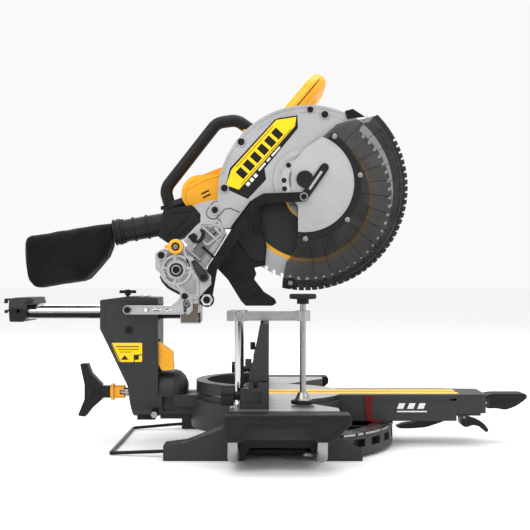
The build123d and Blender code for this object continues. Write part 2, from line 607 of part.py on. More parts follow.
GUARD_OUTLINE = [(-110, 640), (173, 640), (173, 585), (105, 436), (-33, 436), (-70, 387), (-110, 387)]
with BuildPart() as upper_guard:
    # Two walls and a rim over the top of the blade
    for low, high in ((-26, -23), (17, 20)):
        with BuildSketch(side(high)) as wall:
            with Locations((BLADE_X, BLADE_Z)):
                Circle(GUARD_R)
            Polygon(*GUARD_OUTLINE, align=None, mode=Mode.INTERSECT)
        extrude(amount=high - low)
    with BuildSketch(side(20)):
        with Locations((BLADE_X, BLADE_Z)):
            Circle(GUARD_R)
            Circle(GUARD_R - 5, mode=Mode.SUBTRACT)
        Polygon(*GUARD_OUTLINE, align=None, mode=Mode.INTERSECT)
    extrude(amount=46)
    # Raised arc around the lower guard's pivot, and the spindle opening
    with BuildSketch(side(-26)):
        with Locations((GUARD_X, GUARD_Z)):
            Circle(56)
            Circle(40, mode=Mode.SUBTRACT)
        Polygon(*GUARD_OUTLINE, align=None, mode=Mode.INTERSECT)
        with Locations((GUARD_X + 60, GUARD_Z - 40)):
            Rectangle(160, 80, mode=Mode.SUBTRACT)
    extrude(amount=3)
    disc(BLADE_X, BLADE_Z, 16, 10, 30, mode=Mode.SUBTRACT)
save(upper_guard.part, "upper_guard")

NOSE_OUTLINE = [(136, 596), (140, 582), (172, 586), (150, 600)]
with BuildPart() as guard_screws:
    # Screws of the guard and arm, and the dark nose block at the guard's front
    for x, z in ((-50, 541), (-80, 458), (100, 590)):
        disc(x, z, 6, -30, -26)
    for x, z in ((35, 499), (27, 472)):
        disc(x, z, 4.5, -30.2, -29)
    disc(-97, 419, 5, -30, -27)
    slab(NOSE_OUTLINE, -30.2, -26)
save(guard_screws.part, "guard_screws")

CASE_LOW, CASE_HIGH = 27.0, 58.0


def belt_loop(spindle_radius, motor_radius, y_low, y_high, mode=Mode.ADD):
    """An outline wrapped around the spindle and the motor shaft, extruded along Y."""
    with BuildSketch(side(y_high)) as sketch:
        with Locations((BLADE_X, BLADE_Z)):
            Circle(spindle_radius)
        with Locations((MOTOR_X, MOTOR_Z)):
            Circle(motor_radius)
        make_hull()
    extrude(sketch.sketch, amount=y_high - y_low, mode=mode)


def case_block(mode=Mode.ADD):
    """Outside of the belt case with the post of the main handle."""
    belt_loop(46, 34, CASE_LOW, CASE_HIGH, mode)
    with BuildSketch(side(CASE_HIGH)) as sketch:
        Polygon((-62, 480), (-48, 572), (4, 572), (24, 480), align=None)
    extrude(sketch.sketch, amount=CASE_HIGH - CASE_LOW, mode=mode)


with BuildPart() as gear_case:
    # Belt case from the motor to the spindle
    case_block()
    disc(BLADE_X, BLADE_Z, 30, 20, 28)
    disc(-100, 425, 10, 24, 34)
    belt_loop(40, 28, 31, CASE_HIGH, Mode.SUBTRACT)
    disc(BLADE_X, BLADE_Z, 12 + SPIN_FIT, 15, 40, mode=Mode.SUBTRACT)
    disc(MOTOR_X, MOTOR_Z, 5 + SPIN_FIT, 28, 40, mode=Mode.SUBTRACT)
save(gear_case.part, "gear_case")

BARREL_R, BARREL_WALL = 37.0, 5.0
with BuildPart() as motor_housing:
    # Case cover and motor barrel with a battery foot behind it
    belt_loop(46, 34, CASE_HIGH, CASE_HIGH + 4)
    disc(MOTOR_X, MOTOR_Z, BARREL_R, CASE_HIGH, 150)
    fillet(motor_housing.faces().sort_by(Axis.Y)[-1].edges(), 6)
    slab([(-158, 440), (-152, 466), (-134, 488), (-107, 499), (-76, 511), (-76, 440)], CASE_HIGH, 140, 4)
    block(-168, -92, 96, 146, 402, 420)
    disc(MOTOR_X, MOTOR_Z, BARREL_R - BARREL_WALL, CASE_HIGH - 2, 134, mode=Mode.SUBTRACT)
    disc(MOTOR_X, MOTOR_Z, 5 + SPIN_FIT, 130, 143, mode=Mode.SUBTRACT)
save(motor_housing.part, "motor_housing")

with BuildPart() as motor_stator:
    ring(MOTOR_X, MOTOR_Z, BARREL_R - BARREL_WALL, 22, 76, 124)
save(motor_stator.part, "motor_stator")

ROTOR_PULLEY_R, SPINDLE_PULLEY_R = 11.0, 28.0
with BuildPart() as rotor:
    # Motor shaft with the rotor core and the small belt pulley
    disc(MOTOR_X, MOTOR_Z, 5, 29, 142)
    disc(MOTOR_X, MOTOR_Z, 21.4, 78, 122)
    disc(MOTOR_X, MOTOR_Z, ROTOR_PULLEY_R, 35, 51)
save(rotor.part, "rotor")

BELT_GAP, BELT_T = 0.4, 3.0
with BuildPart() as drive_belt:
    # Belt loop, held just off both pulleys
    belt_loop(SPINDLE_PULLEY_R + BELT_GAP + BELT_T, ROTOR_PULLEY_R + BELT_GAP + BELT_T, 37, 49)
    belt_loop(SPINDLE_PULLEY_R + BELT_GAP, ROTOR_PULLEY_R + BELT_GAP, 36, 50, Mode.SUBTRACT)
save(drive_belt.part, "drive_belt")

GRIP = (91.0, 109.0, 666.0)         # middle of the grip bar
GRIP_R, GRIP_SPAN = 17.0, 59.0      # bar radius, half length between the arms' centres
REACH = (cos(radians(50)), 0, sin(radians(50)))
ROOT = (-18.0, 536.0)
with BuildPart() as main_handle:
    # Closed D-shaped handle; its grip runs across the saw
    with BuildLine() as loop:
        FilletPolyline((GRIP[0], GRIP[1] + GRIP_SPAN, GRIP[2]), (ROOT[0], GRIP[1] + GRIP_SPAN, ROOT[1]),
                       (ROOT[0], GRIP[1] - GRIP_SPAN, ROOT[1]), (GRIP[0], GRIP[1] - GRIP_SPAN, GRIP[2]),
                       close=True, radius=24)
    with BuildSketch(Plane(origin=loop.line @ 0, z_dir=loop.line % 0)):
        Circle(GRIP_R)
    sweep()
    case_block(Mode.SUBTRACT)
    # Pockets of the trigger and the lock-off button
    inner = Plane(origin=GRIP, x_dir=(0, 1, 0), z_dir=(-REACH[0], 0, -REACH[2]))
    with BuildSketch(inner.offset(3)):
        Rectangle(46, 14)
    extrude(amount=20, mode=Mode.SUBTRACT)
    upper = Plane(origin=(GRIP[0], GRIP[1] + 32, GRIP[2]), x_dir=(0, 1, 0), z_dir=(-REACH[2], 0, REACH[0]))
    with BuildSketch(upper.offset(8)):
        Circle(6)
    extrude(amount=12, mode=Mode.SUBTRACT)
save(main_handle.part, "main_handle")

with BuildPart() as trigger:
    with BuildSketch(inner.offset(10)):
        RectangleRounded(44, 12, 3)
    extrude(amount=15)
save(trigger.part, "trigger")

with BuildPart() as lock_off:
    with BuildSketch(upper.offset(12)):
        Circle(5.5)
    extrude(amount=7)
save(lock_off.part, "lock_off")

with BuildPart() as carry_handle:
    bar([(-152, 45, 440), (-184, 45, 428), (-194, 45, 463), (-97, 45, 587), (-60, 45, 592), (-22, 45, 566)],
        11.5, (12, 26, 28, 28))
    case_block(Mode.SUBTRACT)
save(carry_handle.part, "carry_handle")

PIPE_END, PIPE_ROOT = (-279.0, 380.0), (-165.0, 400.0)
PIPE_R = 20.5
PIPE_ANGLE = degrees(atan2(PIPE_ROOT[1] - PIPE_END[1], PIPE_ROOT[0] - PIPE_END[0]))
pipe_plane = Plane(origin=(PIPE_END[0], 0, PIPE_END[1]), x_dir=(0, 1, 0),
                   z_dir=(cos(radians(PIPE_ANGLE)), 0, sin(radians(PIPE_ANGLE))))
with BuildPart() as dust_elbow:
    # Outlet pipe, open at the rear, on the elbow that bolts to the arm
    with BuildSketch(pipe_plane):
        Circle(PIPE_R)
    extrude(amount=100)
    slab([(-200, 372), (-190, 420), (-139, 429), (-124, 412), (-124, 403), (-156, 369), (-181, 359)],
         -20, 20, 4)
    for start in (14, 34):
        with BuildSketch(pipe_plane.offset(start)):
            Circle(PIPE_R + 1.6)
        extrude(amount=3)
    with BuildSketch(pipe_plane.offset(-1)):
        Circle(PIPE_R - 3.5)
    extrude(amount=86, mode=Mode.SUBTRACT)
    add(head_arm.part, mode=Mode.SUBTRACT)
save(dust_elbow.part, "dust_elbow")

CHUTE_OUTLINE = [(-40, 432), (-68, 385), (-107, 322), (-92, 313), (-74, 294), (-50, 255), (-42, 247),
                 (6, 247), (14, 252), (10, 260), (-9, 272), (-27, 295), (-23, 305), (-27, 316), (-7, 320),
                 (-4, 355), (-14, 396), (-9, 430)]
with BuildPart() as dust_chute:
    # Rubber chute behind the blade, with a slot that the blade runs in
    slab(CHUTE_OUTLINE, -16, 8, 2.5)
    disc(BLADE_X, BLADE_Z, BLADE_R + 4, -4, 4, mode=Mode.SUBTRACT)
save(dust_chute.part, "dust_chute")

# ---------------------------------------------------------------- blade and spindle
TEETH = 60
with BuildPart() as blade:
    # Toothed disc: each tooth has a steep face and a sloped back
    with BuildSketch(side(BLADE_T / 2)):
        with Locations((BLADE_X, BLADE_Z)):
            Circle(BLADE_R)
            with PolarLocations(BLADE_R - 3.5, TEETH):
                Polygon((-3, -3.5), (1, -4.5), (6, 2.6), (6, -1), (5, 4), (-3, 0), align=None,
                        mode=Mode.SUBTRACT)
            Circle(15, mode=Mode.SUBTRACT)
    extrude(amount=BLADE_T)
save(blade.part, "blade")

with BuildPart() as spindle:
    # Spindle with both blade flanges, the arbor bolt and the large belt pulley
    disc(BLADE_X, BLADE_Z, 15, -5, 9)
    disc(BLADE_X, BLADE_Z, 25, -5, -BLADE_T / 2)
    disc(BLADE_X, BLADE_Z, 25, BLADE_T / 2, 7)
    disc(BLADE_X, BLADE_Z, 12, 5, 40)
    disc(BLADE_X, BLADE_Z, SPINDLE_PULLEY_R, 35, 51)
    with BuildSketch(side(-5)):
        with Locations((BLADE_X, BLADE_Z)):
            RegularPolygon(9, 6)
    extrude(amount=8)
save(spindle.part, "spindle")

# ---------------------------------------------------------------- lower guard and its link
LOWER_OUTLINE = [(20, 240), (26, 301), (31, 326), (49, 348), (52, 357), (52, 425), (40, 446), (40, 500),
                 (66, 530), (99, 552), (121, 572), (137, 577), (167, 581), (190, 587), (260, 620),
                 (300, 460), (260, 240)]
GUARD_NEAR, GUARD_FAR = -33.0, 25.5
RIM_WALL, PLATE_T = 8.0, 2.5


def rim_layer(inner_radius, y_low, y_high):
    """One layer of the guard inside its outline, with the notches around the edge."""
    with BuildSketch(side(y_high)) as sketch:
        with Locations((RIM_X, RIM_Z)):
            Circle(LOWER_R)
            if inner_radius:
                Circle(inner_radius, mode=Mode.SUBTRACT)
        Polygon(*LOWER_OUTLINE, align=None, mode=Mode.INTERSECT)
        for step in range(34):
            notch_turn = 28 - 3.8 * step
            with Locations(polar((RIM_X, RIM_Z), LOWER_R - 1.5, notch_turn)):
                Rectangle(7, 4.2, rotation=notch_turn, mode=Mode.SUBTRACT)
    extrude(sketch.sketch, amount=y_high - y_low)


with BuildPart() as lower_guard:
    # Clear near plate
    rim_layer(0, GUARD_NEAR, GUARD_NEAR + PLATE_T)
save(lower_guard.part, "lower_guard")

with BuildPart() as guard_rim:
    rim_layer(LOWER_R - RIM_WALL, GUARD_NEAR + PLATE_T, GUARD_FAR - PLATE_T)

with BuildPart() as guard_flange:
    # Inner lip on the rim's far side
    rim_layer(165, GUARD_FAR - PLATE_T, GUARD_FAR)
save(Compound(children=[guard_rim.part, guard_flange.part]), "guard_rim")

ROLLER_X, ROLLER_Z = 38.0, 288.0
with BuildPart() as guard_fittings:
    # Inner disc, pivot cap, link slot bracket with its pin, and the trailing roller
    with BuildSketch(side(GUARD_NEAR)):
        with Locations((GUARD_X, RIM_Z + 8)):
            Circle(88)
        Polygon(*LOWER_OUTLINE, align=None, mode=Mode.INTERSECT)
    extrude(amount=2)
    disc(GUARD_X, GUARD_Z, 15, -39, -35)
    with BuildSketch(side(-35)):
        with BuildLine() as slot_path:
            Line((LINK_PIN_X, LINK_PIN_Z), (99, 494))
        trace(slot_path.edges(), line_width=14)
        with Locations((LINK_PIN_X, LINK_PIN_Z), (99, 494)):
            Circle(8)
    extrude(amount=3)
    disc(ROLLER_X, ROLLER_Z, 9.5, GUARD_NEAR - 4, GUARD_NEAR)
save(guard_fittings.part, "guard_fittings")

LINK_PATH = [(LINK_X, LINK_Z), (-100, 315), (-22, 431), (-8, 439), (LINK_PIN_X, LINK_PIN_Z)]
with BuildPart() as guard_link:
    # Flat bent bar that opens the lower guard as the head comes down
    with BuildSketch(side(-40)):
        for (x_start, z_start), (x_end, z_end) in zip(LINK_PATH, LINK_PATH[1:]):
            run = ((x_end - x_start) ** 2 + (z_end - z_start) ** 2) ** 0.5
            slope = degrees(atan2(z_end - z_start, x_end - x_start))
            with Locations(((x_start + x_end) / 2, (z_start + z_end) / 2)):
                SlotCenterToCenter(run, 17, rotation=slope)
        with Locations((LINK_X, LINK_Z), (LINK_PIN_X, LINK_PIN_Z)):
            Circle(4 + SPIN_FIT, mode=Mode.SUBTRACT)
    extrude(amount=4)
save(guard_link.part, "guard_link")

# ---------------------------------------------------------------- dust bag
BAG_OUTLINE = [(-438, 360), (-430, 373), (-383, 381), (-333, 390), (-284, 397), (-282, 360), (-291, 334),
               (-327, 294), (-377, 285), (-416, 278), (-426, 288), (-435, 343)]
with BuildPart() as dust_bag:
    # Full bag, and the plastic collar that holds it on the pipe
    slab(BAG_OUTLINE, -48, 48)
    fillet(dust_bag.faces().filter_by(Axis.Y).edges(), 12)
    with BuildSketch(pipe_plane.offset(-2)):
        Circle(PIPE_R + 3.5)
        Circle(PIPE_R + 0.4, mode=Mode.SUBTRACT)
    extrude(amount=14)
save(dust_bag.part, "dust_bag")
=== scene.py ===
"""Sliding mitre saw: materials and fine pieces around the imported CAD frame. Lengths are in metres."""

import json
import math
from functools import partial

import bmesh
import bpy
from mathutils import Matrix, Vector, noise
from mathutils.geometry import tessellate_polygon


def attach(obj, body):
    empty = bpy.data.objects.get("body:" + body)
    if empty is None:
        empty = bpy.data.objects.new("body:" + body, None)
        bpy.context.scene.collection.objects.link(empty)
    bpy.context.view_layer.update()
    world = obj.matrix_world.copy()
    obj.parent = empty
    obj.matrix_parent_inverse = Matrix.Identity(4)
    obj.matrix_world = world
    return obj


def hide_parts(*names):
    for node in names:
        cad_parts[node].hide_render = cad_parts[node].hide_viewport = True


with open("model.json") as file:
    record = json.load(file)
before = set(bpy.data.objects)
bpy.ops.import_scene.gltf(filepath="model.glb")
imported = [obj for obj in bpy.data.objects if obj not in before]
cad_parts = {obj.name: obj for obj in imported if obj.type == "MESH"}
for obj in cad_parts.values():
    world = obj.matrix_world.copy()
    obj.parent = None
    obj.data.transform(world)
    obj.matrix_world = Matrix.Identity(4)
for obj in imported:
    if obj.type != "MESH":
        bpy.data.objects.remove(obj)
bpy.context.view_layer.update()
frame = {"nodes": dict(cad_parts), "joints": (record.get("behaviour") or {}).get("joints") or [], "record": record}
MM = 0.001
TAU = 2 * math.pi
UP = (0, 0, 1)
FORWARD = (1, 0, 0)


# ---------------- places in the X-Z plane, in millimetres

def axle(name):
    """Where a joint's axis crosses the plane."""
    place = next(joint["pos_m"] for joint in frame["joints"] if joint["name"] == name)
    return place[0] / MM, place[2] / MM


PIVOT = axle("chop")
GUARD_PIVOT = axle("lower_guard_open")
ARBOR = axle("blade_spin")
MOTOR = axle("rotor_spin")
LINK_FOOT = axle("guard_link_swing")
STOP_HUB = axle("depth_stop_flip")
COVER_HUB = (64, 473)
INNER_DISC = (64, 467)
ROLLER = (38, 288)
LINK_PIN = (62, 441.4)
LOCK_PIN = (-164, 352)
STRAP_REAR = (-249, 241)
STRAP_FRONT = (-148, 265)
PIPE_END = Vector((-279, 0, 380))
TABLE_TOP = 90.6


# ---------------- camera, floor and light

def link(obj):
    """Put an object into the scene."""
    bpy.context.scene.collection.objects.link(obj)
    return obj


def stage_plane(name, corner, across, along, tone):
    """A plain matt rectangle of the set."""
    corner, across, along = Vector(corner), Vector(across), Vector(along)
    mesh = bpy.data.meshes.new(name)
    mesh.from_pydata([corner, corner + across, corner + across + along, corner + along], [], [(0, 1, 2, 3)])
    sheet = link(bpy.data.objects.new(name, mesh))
    matt = bpy.data.materials.new(name)
    matt.use_nodes = True
    matt.node_tree.nodes["Principled BSDF"].inputs["Base Color"].default_value = (tone, tone, tone, 1)
    matt.node_tree.nodes["Principled BSDF"].inputs["Roughness"].default_value = 0.9
    mesh.materials.append(matt)
    return sheet


def studio():
    """The photograph's view, a pale floor and soft light."""
    lens = bpy.data.cameras.new("camera")
    lens.sensor_width = 36
    lens.lens = 64.9
    lens.shift_x = -0.0075
    lens.shift_y = 0.0272
    camera = link(bpy.data.objects.new("camera", lens))
    camera.location = (0, -1.740, 0.2946)
    camera.rotation_euler = (math.pi / 2, 0, 0)
    bpy.context.scene.camera = camera

    stage_plane("floor", (-30, -30, -0.0005), (60, 0, 0), (0, 60, 0), 0.95)
    # A dark board behind the camera, seen only in reflections, gives the bright metal its dark core
    board = stage_plane("dark_board", (-2.6, -3.4, -0.4), (5.2, 0, 0), (0, 0, 1.0), 0.01)
    board.visible_camera = False
    board.visible_diffuse = False
    board.visible_shadow = False

    world = bpy.data.worlds.new("studio")
    bpy.context.scene.world = world
    world.use_nodes = True
    world.node_tree.nodes["Background"].inputs["Color"].default_value = (1, 1, 1, 1)
    world.node_tree.nodes["Background"].inputs["Strength"].default_value = 0.95
    lights = (
        ("key", (-1.2, -1.7, 2.2), 1.3, 22),
        ("front", (1.9, -1.4, 1.2), 0.9, 9),
        ("top", (0.3, 0.2, 2.6), 1.6, 26),
        ("rear", (-0.8, 2.3, 1.9), 1.2, 20),
    )
    for name, place, size, power in lights:
        lamp = bpy.data.lights.new(name, "AREA")
        lamp.size = size
        lamp.energy = power
        holder = link(bpy.data.objects.new(name, lamp))
        holder.location = place
        aim = Vector((0, 0, 0.3)) - Vector(place)
        holder.rotation_euler = aim.to_track_quat("-Z", "Y").to_euler()
    bpy.context.scene.view_settings.view_transform = "Standard"


# ---------------- material helpers

def rgb(red, green, blue):
    """A linear colour from 8-bit screen values."""
    def linear(value):
        value /= 255
        return value / 12.92 if value <= 0.04045 else ((value + 0.055) / 1.055) ** 2.4
    return (linear(red), linear(green), linear(blue), 1)


def shade(colour, factor):
    """The same colour, lighter or darker."""
    return tuple(min(1, channel * factor) for channel in colour[:3]) + (1,)


class Finish:
    """A procedural material, built in layers on the part's own coordinates."""

    def __init__(self, name, colour, metallic=0.0, roughness=0.5):
        self.material = bpy.data.materials.new(name)
        self.material.use_nodes = True
        self.tree = self.material.node_tree
        self.shader = self.tree.nodes["Principled BSDF"]
        self.set(metallic=metallic, roughness=roughness)
        self.shader.inputs["Base Color"].default_value = colour
        self.place = self.add("TexCoord").outputs["Object"]
        self.colour = colour
        self.normal = None

    def add(self, kind, settings=None, **inputs):
        """A node; each input is a number, a colour or another node's output."""
        made = self.tree.nodes.new("ShaderNode" + kind)
        for key, value in (settings or {}).items():
            setattr(made, key, value)
        for key, value in inputs.items():
            self.feed(made.inputs[key.replace("_", " ")], value)
        return made

    def feed(self, socket, value):
        if isinstance(value, bpy.types.NodeSocket):
            self.tree.links.new(value, socket)
        else:
            socket.default_value = value

    def set(self, **values):
        """Constants on the shader itself."""
        for key, value in values.items():
            self.shader.inputs[key.replace("_", " ").title().replace("Ior", "IOR")].default_value = value
        return self

    def stretched(self, scale):
        """The coordinates, scaled by axis."""
        return self.add("Mapping", Vector=self.place, Scale=scale).outputs["Vector"]

    def noise(self, scale, detail=3.0, place=None):
        return self.add("TexNoise", Vector=place or self.place, Scale=scale, Detail=detail,
                        Roughness=0.55).outputs["Fac"]

    def length(self, vector):
        return self.add("VectorMath", {"operation": "LENGTH"}, Vector=vector).outputs["Value"]

    def spread(self, value, low, high, to_low=0.0, to_high=1.0):
        """Stretch a value from one range to another, held at its ends."""
        return self.add("MapRange", {"clamp": True}, Value=value, From_Min=low, From_Max=high,
                        To_Min=to_low, To_Max=to_high).outputs["Result"]

    def mix(self, factor, first, second):
        made = self.add("Mix", {"data_type": "RGBA"})
        self.feed(made.inputs["Factor"], factor)
        self.feed(made.inputs[6], first)
        self.feed(made.inputs[7], second)
        return made.outputs[2]

    def times(self, first, second):
        made = self.add("Math", {"operation": "MULTIPLY"})
        self.feed(made.inputs[0], first)
        self.feed(made.inputs[1], second)
        return made.outputs[0]

    def paint(self, colour):
        self.colour = colour
        self.feed(self.shader.inputs["Base Color"], colour)
        return self

    def patches(self, amount=0.1, scale=16.0):
        """Slow changes of tone over the surface."""
        cloud = self.spread(self.noise(scale, 4), 0.3, 0.7)
        return self.paint(self.mix(cloud, shade(self.colour, 1 - amount), shade(self.colour, 1 + amount)))

    def edges(self, colour, amount=0.7, width=0.9 * MM, scale=160.0):
        """Rubbed edges, broken up by noise."""
        soft = self.add("Bevel", {"samples": 4}, Radius=width).outputs["Normal"]
        flat = self.add("NewGeometry").outputs["Normal"]
        likeness = self.add("VectorMath", {"operation": "DOT_PRODUCT"})
        self.feed(likeness.inputs[0], soft)
        self.feed(likeness.inputs[1], flat)
        edge = self.spread(likeness.outputs["Value"], 0.995, 0.86)
        worn = self.times(edge, self.spread(self.noise(scale, 3), 0.42, 0.6, 0, amount))
        self.normal = soft
        return self.paint(self.mix(worn, self.colour, colour))

    def uneven_gloss(self, low, high, scale=45.0):
        self.feed(self.shader.inputs["Roughness"], self.spread(self.noise(scale, 5), 0.3, 0.7, low, high))
        return self

    def bump(self, height, distance, strength=1.0):
        made = self.add("Bump", Height=height, Distance=distance, Strength=strength)
        if self.normal:
            self.feed(made.inputs["Normal"], self.normal)
        self.normal = made.outputs["Normal"]
        self.feed(self.shader.inputs["Normal"], self.normal)
        return self

    def grain(self, scale, distance, strength=1.0, detail=2.0):
        return self.bump(self.noise(scale, detail), distance, strength)


# ---------------- materials

def casting(name, colour, rub, sparkle=0.0):
    """Powder-coated casting: fine orange peel, rubbed edges, a little metal fleck."""
    made = Finish(name, colour, 0.25, 0.5)
    made.patches(0.1, 11)
    if sparkle:
        fleck = made.spread(made.noise(1500, 1), 0.62, 0.72, 0, sparkle)
        made.paint(made.mix(fleck, made.colour, (1, 1, 1, 1)))
    made.edges(rub, 0.55)
    made.uneven_gloss(0.38, 0.58, 60)
    made.grain(1100, 0.12 * MM, 0.5)
    return made.material


def plastic(name, colour, gloss=(0.35, 0.5), texture=0.16, rub=None, scale=1500):
    """Moulded plastic: fine spark texture, handling shine and scuffed corners."""
    made = Finish(name, colour, 0.0, 0.45)
    made.set(specular_ior_level=0.34 if rub is None else 0.5)
    made.patches(0.06, 14)
    made.edges(rub or shade(colour, 3.2), 0.35, 0.8 * MM, 220)
    made.uneven_gloss(*gloss, 38)
    made.grain(scale, texture * MM, 0.6)
    return made.material


def brushed(name, colour, roughness, stretch, depth=0.06):
    """Machined or drawn metal, with fine lines along one axis and faint stains."""
    made = Finish(name, colour, 1.0, roughness)
    made.patches(0.08, 20)
    lines = made.noise(1, 4, made.stretched(stretch))
    made.paint(made.mix(made.spread(lines, 0.35, 0.65), shade(colour, 0.86), made.colour))
    made.uneven_gloss(roughness * 0.75, roughness * 1.3, 55)
    made.edges(shade(colour, 1.15), 0.4)
    made.bump(lines, depth * MM, 0.5)
    return made.material


def black_steel(name):
    made = Finish(name, rgb(24, 24, 25), 0.6, 0.42)
    made.patches(0.18, 30)
    made.edges(rgb(120, 118, 115), 0.5, 0.5 * MM, 300)
    made.uneven_gloss(0.28, 0.48, 80)
    made.grain(1800, 0.05 * MM, 0.5)
    return made.material


def rubber(name):
    made = Finish(name, rgb(11, 11, 11), 0.0, 0.75)
    made.set(specular_ior_level=0.3)
    made.patches(0.15, 22)
    made.edges(rgb(70, 70, 70), 0.35)
    made.uneven_gloss(0.6, 0.82, 50)
    made.grain(900, 0.14 * MM, 0.8, 4)
    return made.material


def smoked(name):
    """Smoked clear polycarbonate: dark, glossy, faintly scratched and dusty."""
    made = Finish(name, rgb(52, 50, 47), 0.0, 0.14)
    made.patches(0.2, 9)
    made.set(alpha=0.5, ior=1.5)
    dust = made.spread(made.noise(26, 6), 0.45, 0.75, 0, 0.22)
    made.paint(made.mix(dust, made.colour, rgb(120, 118, 114)))
    made.uneven_gloss(0.08, 0.25, 30)
    made.grain(420, 0.03 * MM, 0.4)
    return made.material


def cloth(name):
    """Close-woven nylon: crossed threads, soft sheen and dust in the folds."""
    made = Finish(name, rgb(6, 6, 7), 0.0, 0.9)
    made.patches(0.3, 12)
    made.set(sheen_weight=0.04, sheen_roughness=0.5, specular_ior_level=0.2)
    threads = [made.add("TexWave", {"bands_direction": direction}, Vector=made.place, Scale=520.0,
                        Distortion=1.2, Detail=1.0).outputs["Fac"] for direction in "XZ"]
    weave = made.times(*threads)
    dust = made.spread(made.noise(18, 6), 0.5, 0.8, 0, 0.08)
    made.paint(made.mix(dust, made.colour, rgb(88, 84, 78)))
    made.uneven_gloss(0.72, 0.92, 24)
    made.bump(made.noise(70, 4), 1.2 * MM, 0.5)
    made.bump(weave, 0.25 * MM, 0.8)
    return made.material


def upward(made):
    """How far the surface faces up, from -1 to 1."""
    return made.add("SeparateXYZ", Vector=made.add("NewGeometry").outputs["Normal"]).outputs["Z"]


def top_mask(made, height):
    """1 on the upward faces at a height, 0 elsewhere."""
    level = made.add("SeparateXYZ", Vector=made.place).outputs["Z"]
    reached = made.spread(level, height - 0.4 * MM, height - 0.2 * MM)
    return made.times(reached, made.spread(upward(made), 0.9, 0.97))


def table_casting(name, reach):
    """The same casting with its top machined bright inside a radius and swept by fine milling lines."""
    made = Finish(name, CASTING, 0.25, 0.5)
    made.patches(0.1, 11)
    made.edges(rgb(112, 112, 114), 0.5)
    flat = made.add("Mapping", Vector=made.place, Scale=(1, 1, 0)).outputs["Vector"]
    radius = made.length(flat)
    mask = made.times(top_mask(made, TABLE_TOP * MM), made.spread(radius, reach, reach - 0.3 * MM))
    lines = made.noise(1, 3, made.stretched((30, 700, 30)))
    milled = made.mix(made.spread(lines, 0.35, 0.65), rgb(150, 151, 153), rgb(188, 189, 191))
    made.paint(made.mix(mask, made.colour, milled))
    made.feed(made.shader.inputs["Metallic"], made.spread(mask, 0, 1, 0.25, 0.85))
    made.feed(made.shader.inputs["Roughness"], made.spread(mask, 0, 1, 0.5, 0.34))
    made.grain(1100, 0.1 * MM, 0.4)
    return made.material


def blade_steel(name):
    """Blade: bare ground steel outside, a printed dark centre with a yellow ring."""
    made = Finish(name, rgb(196, 197, 198), 0.9, 0.28)
    middle = made.add("Mapping", Vector=made.place, Location=(-ARBOR[0] * MM, 0, -ARBOR[1] * MM),
                      Scale=(1, 0, 1)).outputs["Vector"]
    radius = made.length(middle)
    grind = made.add("TexWave", {"wave_type": "RINGS", "rings_direction": "SPHERICAL"}, Vector=middle,
                     Scale=260.0, Distortion=0.6, Detail=2.0).outputs["Fac"]
    made.paint(made.mix(grind, rgb(196, 197, 199), rgb(226, 227, 229)))
    printed, hub, step = 119 * MM, 38 * MM, 0.3 * MM
    yellow = rgb(240, 178, 26)
    for outer, colour in ((printed, yellow), (112 * MM, rgb(26, 26, 27)), (41 * MM, yellow),
                          (hub, rgb(160, 161, 163))):
        made.paint(made.mix(made.spread(radius, outer, outer - step), made.colour, colour))
    ink = made.times(made.spread(radius, printed, printed - step), made.spread(radius, hub - step, hub))
    made.feed(made.shader.inputs["Metallic"], made.spread(ink, 0, 1, 0.9, 0.1))
    made.feed(made.shader.inputs["Roughness"], made.spread(ink, 0, 1, 0.28, 0.42))
    made.bump(grind, 0.02 * MM, 0.4)
    return made.material


def rail_chrome(name):
    """Hard chrome whose underside has a painted reflection of the dark bench side of the room, with a paler
    painted band near the very bottom.
    """
    made = Finish(name, rgb(214, 215, 217), 1.0, 0.12)
    facing = upward(made)
    # Painted reflection: faces turned down are painted dark, with a paler band painted near the very bottom
    made.paint(made.mix(made.spread(facing, -0.12, 0.0), rgb(34, 34, 36), made.colour))
    made.paint(made.mix(made.spread(facing, -0.85, -0.74), rgb(150, 151, 153), made.colour))
    made.uneven_gloss(0.08, 0.2, 70)
    made.bump(made.noise(1, 3, made.stretched((40, 900, 900))), 0.01 * MM, 0.4)
    return made.material


